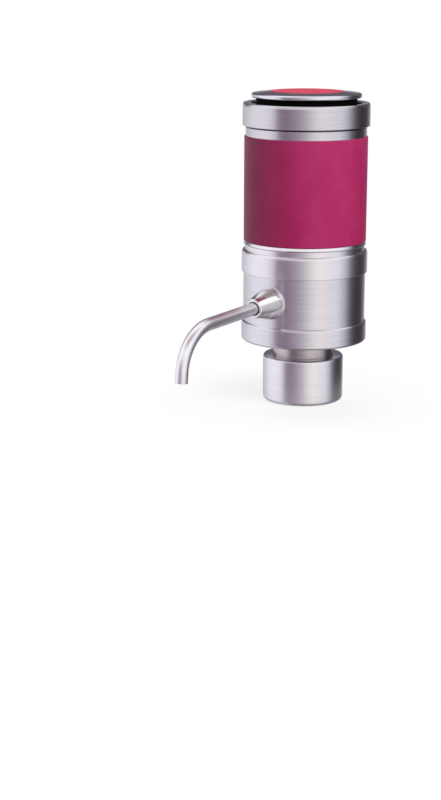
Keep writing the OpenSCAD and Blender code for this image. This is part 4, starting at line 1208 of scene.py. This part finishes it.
def make_screws():
    """The small cross-head screws, set on rings round the axis, some with their heads below."""
    for name, body, length, ring_radius, first_angle, rise, copies, upside_down in (
        ("pump_screw", "lower_unit", 18.2, 12.2, 90, 68.0, 3, True),
        ("chassis_screw", "lower_unit", 4.8, CHASSIS_SCREW_R, LUG_FIRST, 78.8, 3, False),
        ("lid_screw", "lower_unit", 4.8, 24.5, 30, 129.6, 3, False),
        ("motor_screw", "lower_unit", 3.4, 8.7, 0, 97.2, 2, True),
        ("deck_screw", "upper_shell", 3.9, 17.0, 90, BOARD_TOP, 3, False),
    ):
        mesh = screw_mesh(name, length, upside_down)
        piece = ringed(name + "_set", mesh, copies, ring_radius, first_angle, rise, SCREW_STEEL)
        belongs(piece, body, "screw_steel", name + "s")


def cell_frame(low, up):
    """Frame of a cell that stands on its base at height low, or upside down."""
    if up:
        return Matrix.Translation((0, 0, low))
    return Matrix.Translation((0, 0, low + CELL_BODY_L)) @ Matrix.Rotation(math.pi, 4, "X")


def cell_jacket_mesh(name, placed):
    """Foil jacket of a cell with crimped edges."""
    return lathe_mesh(name, [
        (3.9, 0.35, 0.1), (4.3, 0.02, 0.15), (CELL_R, 0, 0.4), (CELL_R, CELL_BODY_L, 0.4),
        (4.2, CELL_BODY_L - 0.02, 0.15), (3.6, CELL_BODY_L - 0.3, 0.1),
        (3.4, CELL_BODY_L - 1, 0.1), (3.4, 1, 0.1),
    ], sides=64, placed=placed, hold=0.08)


def cell_end_mesh(name, placed):
    """Steel ends of a cell: a dished base and a raised button with its vent step."""
    tip_z = CELL_L - HAIR_GAP
    return lathe_mesh(name, [
        (0, 0.12), (2.6, 0.12, 0.1), (3.0, 0.3, 0.1), (4.0, 0.3), (4.0, CELL_BODY_L - 0.4),
        (2.9, CELL_BODY_L - 0.4, 0.1), (2.5, CELL_BODY_L - 0.1, 0.1),
        (CELL_TIP_R, CELL_BODY_L - 0.05, 0.15), (CELL_TIP_R - 0.1, tip_z, 0.25), (0, tip_z),
    ], closed=False, sides=48, placed=placed, hold=0.05)


def make_cells():
    """Six slim cells, every other one upside down, and the cone springs under their bases."""
    jackets = []
    ends = []
    for up, spare, first in ((True, CELL_SPRING_H, 0), (False, CELL_TIP_H, 60)):
        side = "up" if up else "down"
        placed = cell_frame(CELL_ROOM_Z0 + spare, up)
        spots = (CELLS_EACH_WAY, CELL_RING_R, first, 0)
        jacket = cell_jacket_mesh("jacket_" + side, placed)
        jackets.append(ringed("jackets_" + side, jacket, *spots, CELL_FOIL))
        end = cell_end_mesh("end_" + side, placed)
        ends.append(ringed("ends_" + side, end, *spots, SCREW_STEEL))
    cells = [f"cell_{k}" for k in range(1, 2 * CELLS_EACH_WAY + 1)]
    belongs(joined_pieces("cell_jacket_set", jackets), "lower_unit", "cell_jacket", *cells)
    belongs(joined_pieces("cell_end_set", ends), "lower_unit", "screw_steel")

    springs = []
    for side, first, z0, radii in (
        ("low", 0, CELL_ROOM_Z0, (CONE_SPRING_R, CELL_TIP_R)),
        ("high", 60, CELL_ROOM_Z1 - CELL_SPRING_H, (CELL_TIP_R, CONE_SPRING_R)),
    ):
        springs.append(coiled(
            "cone_springs_" + side, CONE_SPRING_TURNS, radii, z0, CELL_SPRING_H, CONE_WIRE_R,
            CELLS_EACH_WAY, CELL_RING_R, first,
        ))
    belongs(joined_pieces("cone_spring_set", springs), "lower_unit", "screw_steel", "cell_springs")


def make_leads():
    """Two insulated leads from the motor's terminals over to the lid's inner edge."""
    top = DECK_Z0 - LEAD_HEADROOM
    for name, side, finish, slot, node in (
        ("red_wire", 1, RED_WIRE, "red_lead", "lead_red"),
        ("black_wire", -1, BLACK_WIRE, "black_lead", "lead_black"),
    ):
        route = interpolate_bezier(
            Vector((side * TERMINAL_R, 0, MOTOR_TOP + LEAD_FOOT)),
            Vector((side * TERMINAL_R, 0, top)),
            Vector((side * LEAD_CROSS[0], LEAD_CROSS[1], top)),
            Vector((side * LEAD_LAND[0], LEAD_LAND[1], LID_TOP + LEAD_R + HAIR_GAP)),
            LEAD_STEPS + 1,
        )
        belongs(swept(name, route, LEAD_R, 16, True, finish), "lower_unit", slot, node)


# Stage, light and camera

def make_floor():
    """Pale floor that keeps the object's soft shadow and clears into the white around it."""
    shape = bmesh.new()
    bmesh.ops.create_circle(shape, cap_ends=True, segments=96, radius=FLOOR_R * MM)
    mesh = as_mesh("floor", shape)
    mesh.transform(Matrix.Translation((0, 0, -FLOOR_DROP * MM)))
    tree = new_finish("pale_floor")
    x, y, z = tree.place()
    edge = ((x * x + y * y) ** 0.5).ease(COLLAR_R, FLOOR_R)
    away = edge * (1 - FLOOR_CLEAR) + FLOOR_CLEAR
    fleck = tree.noise(tree.joined(x * 0.2, y * 0.2, z), 3.0)
    pale = tree.mixed(fleck, (0.9,) * 3, (0.94,) * 3)
    matt = tree.node("ShaderNodeBsdfDiffuse", {"Color": pale})[0]
    clear = tree.node("ShaderNodeBsdfTransparent")[0]
    shade = tree.node("ShaderNodeMixShader", {0: away, 1: matt, 2: clear})[0]
    tree.node("ShaderNodeOutputMaterial", {"Surface": shade})
    add_piece("floor", mesh, tree.owner)


# Pale panels and dark cards that the metal sees in the white round the object,
# as (degrees to the right of the camera, brightness, tint)
COOL = (0.975, 0.965, 1.03)
MAUVE = (1.06, 0.86, 1.08)
WARM = (1.03, 0.985, 0.98)
BLUISH = (0.98, 0.99, 1.06)
PANELS = (
    (-180, 0.95, COOL), (-160, 0.62, COOL), (-139, 0.82, COOL), (-122, 1.02, COOL), (-102, 1.12, COOL),
    (-86, 1.12, COOL), (-70, 1.04, COOL), (-59, 0.76, COOL), (-52, 0.40, MAUVE), (-44, 0.29, MAUVE),
    (-35, 0.28, MAUVE), (-24, 0.36, MAUVE), (-13, 0.47, MAUVE), (-2, 0.62, COOL), (9, 0.84, WARM),
    (20, 1.03, WARM), (31, 1.10, WARM), (43, 1.05, WARM), (55, 1.01, BLUISH), (67, 0.96, BLUISH),
    (81, 0.64, BLUISH), (96, 0.18, BLUISH), (108, 0.075, MAUVE), (122, 0.05, MAUVE),
    (139, 0.085, MAUVE), (160, 0.40, COOL), (180, 0.95, COOL),
)
TOP_PANEL = (1.28, 1.28, 1.31)
TOP_CARD = (0.36, 0.30, 0.29)
BACK_CARD = (0.13, 0.115, 0.14)
GROUND = (0.2, 0.175, 0.19)
UNDER_CARD = (0.05, 0.04, 0.04)
SOFT_LIGHT = 0.32


def make_light():
    """White background, with pale panels and dark cards round the object for its steel to show."""
    world = bpy.data.worlds.new("studio")
    bpy.context.scene.world = world
    tree = emptied(world)
    x, y, z = tree.parts(tree.node("ShaderNodeTexCoord")["Generated"])
    # A turn round the object from 0 to 1, with the camera's side at a half
    sideways = x * math.cos(VIEW_AZIMUTH) + y * math.sin(VIEW_AZIMUTH)
    facing = x * math.sin(VIEW_AZIMUTH) - y * math.cos(VIEW_AZIMUTH)
    around = sideways.maths("ARCTAN2", facing) / (2 * math.pi) + 0.5
    stops = [((angle + 180) / 360, shaded(tint, level)) for angle, level, tint in PANELS]
    panels = tree.node("ShaderNodeValToRGB", {0: around}, stops=stops)[0]
    far = (-facing).ease(0.1, 0.6)
    upper = tree.mixed((-facing).ease(0.4, 0.75) * z.ease(0.0, 0.1), panels, BACK_CARD)
    lit = tree.mixed((z - far * 0.35).ease(0.22, 0.55), upper, TOP_PANEL)
    topped = tree.mixed(z.ease(0.66, 0.84) * facing.ease(-0.1, 0.2), lit, TOP_CARD)
    ground = tree.mixed((-z).ease(0.88, 0.97), tree.mixed(0.5, panels, GROUND), UNDER_CARD)
    room = tree.mixed((far * 0.2 - z).ease(0.35, 0.72), topped, ground)
    path = tree.node("ShaderNodeLightPath")
    camera, glossy, through = (
        Num(tree, path[kind]) for kind in ("Is Camera Ray", "Is Glossy Ray", "Is Transmission Ray")
    )
    shown = camera.greatest(glossy).greatest(through)
    white = tree.mixed(camera, room, (1.0, 1.0, 1.0))
    soft = tree.node("ShaderNodeBackground", {"Color": room, "Strength": SOFT_LIGHT})[0]
    behind = tree.node("ShaderNodeBackground", {"Color": white, "Strength": 1.0})[0]
    both = tree.node("ShaderNodeMixShader", {0: shown, 1: soft, 2: behind})[0]
    tree.node("ShaderNodeOutputWorld", {"Surface": both})


def towards(azimuth, elevation):
    """Direction from the object to a viewer at these angles, in radians."""
    return Vector((
        math.cos(elevation) * math.sin(azimuth),
        -math.cos(elevation) * math.cos(azimuth),
        math.sin(elevation),
    ))


def add_lamp(name, azimuth, elevation, power):
    """A wide soft lamp turned to the grip's middle."""
    back = towards(math.radians(azimuth), math.radians(elevation))
    lamp = bpy.data.lights.new(name, "AREA")
    lamp.size = LAMP_SIZE * MM
    lamp.energy = power
    holder = linked(name, lamp)
    spot = (back * LAMP_DISTANCE + VIEW_CENTRE) * MM
    holder.matrix_world = Matrix.Translation(spot) @ back.to_track_quat("Z", "Y").to_matrix().to_4x4()
    holder.visible_glossy = False


def make_camera():
    """Camera where the photograph was taken from."""
    back = towards(VIEW_AZIMUTH, VIEW_ELEVATION)
    right = Vector((math.cos(VIEW_AZIMUTH), math.sin(VIEW_AZIMUTH), 0))
    turn = Matrix((right, back.cross(right), back)).transposed()
    for angle, axis in ((VIEW_YAW, "Y"), (VIEW_PITCH, "X"), (-VIEW_ROLL, "Z")):
        turn = turn @ Matrix.Rotation(angle, 3, axis)
    lens = bpy.data.cameras.new("camera")
    lens.lens = VIEW_LENS
    lens.sensor_width = 36
    lens.clip_start = 0.01
    camera = linked("camera", lens)
    spot = VIEW_CENTRE + back * VIEW_DISTANCE
    camera.matrix_world = Matrix.Translation(spot * MM) @ turn.to_4x4()
    bpy.context.scene.camera = camera


make_collar()
make_body()
make_button()
make_spout()
make_screws()
make_cells()
make_leads()
make_inner_solids()
make_floor()
make_light()
add_lamp("key_lamp", **KEY_LAMP)
add_lamp("back_lamp", **BACK_LAMP)
make_camera()
bpy.context.scene.view_settings.view_transform = "Standard"
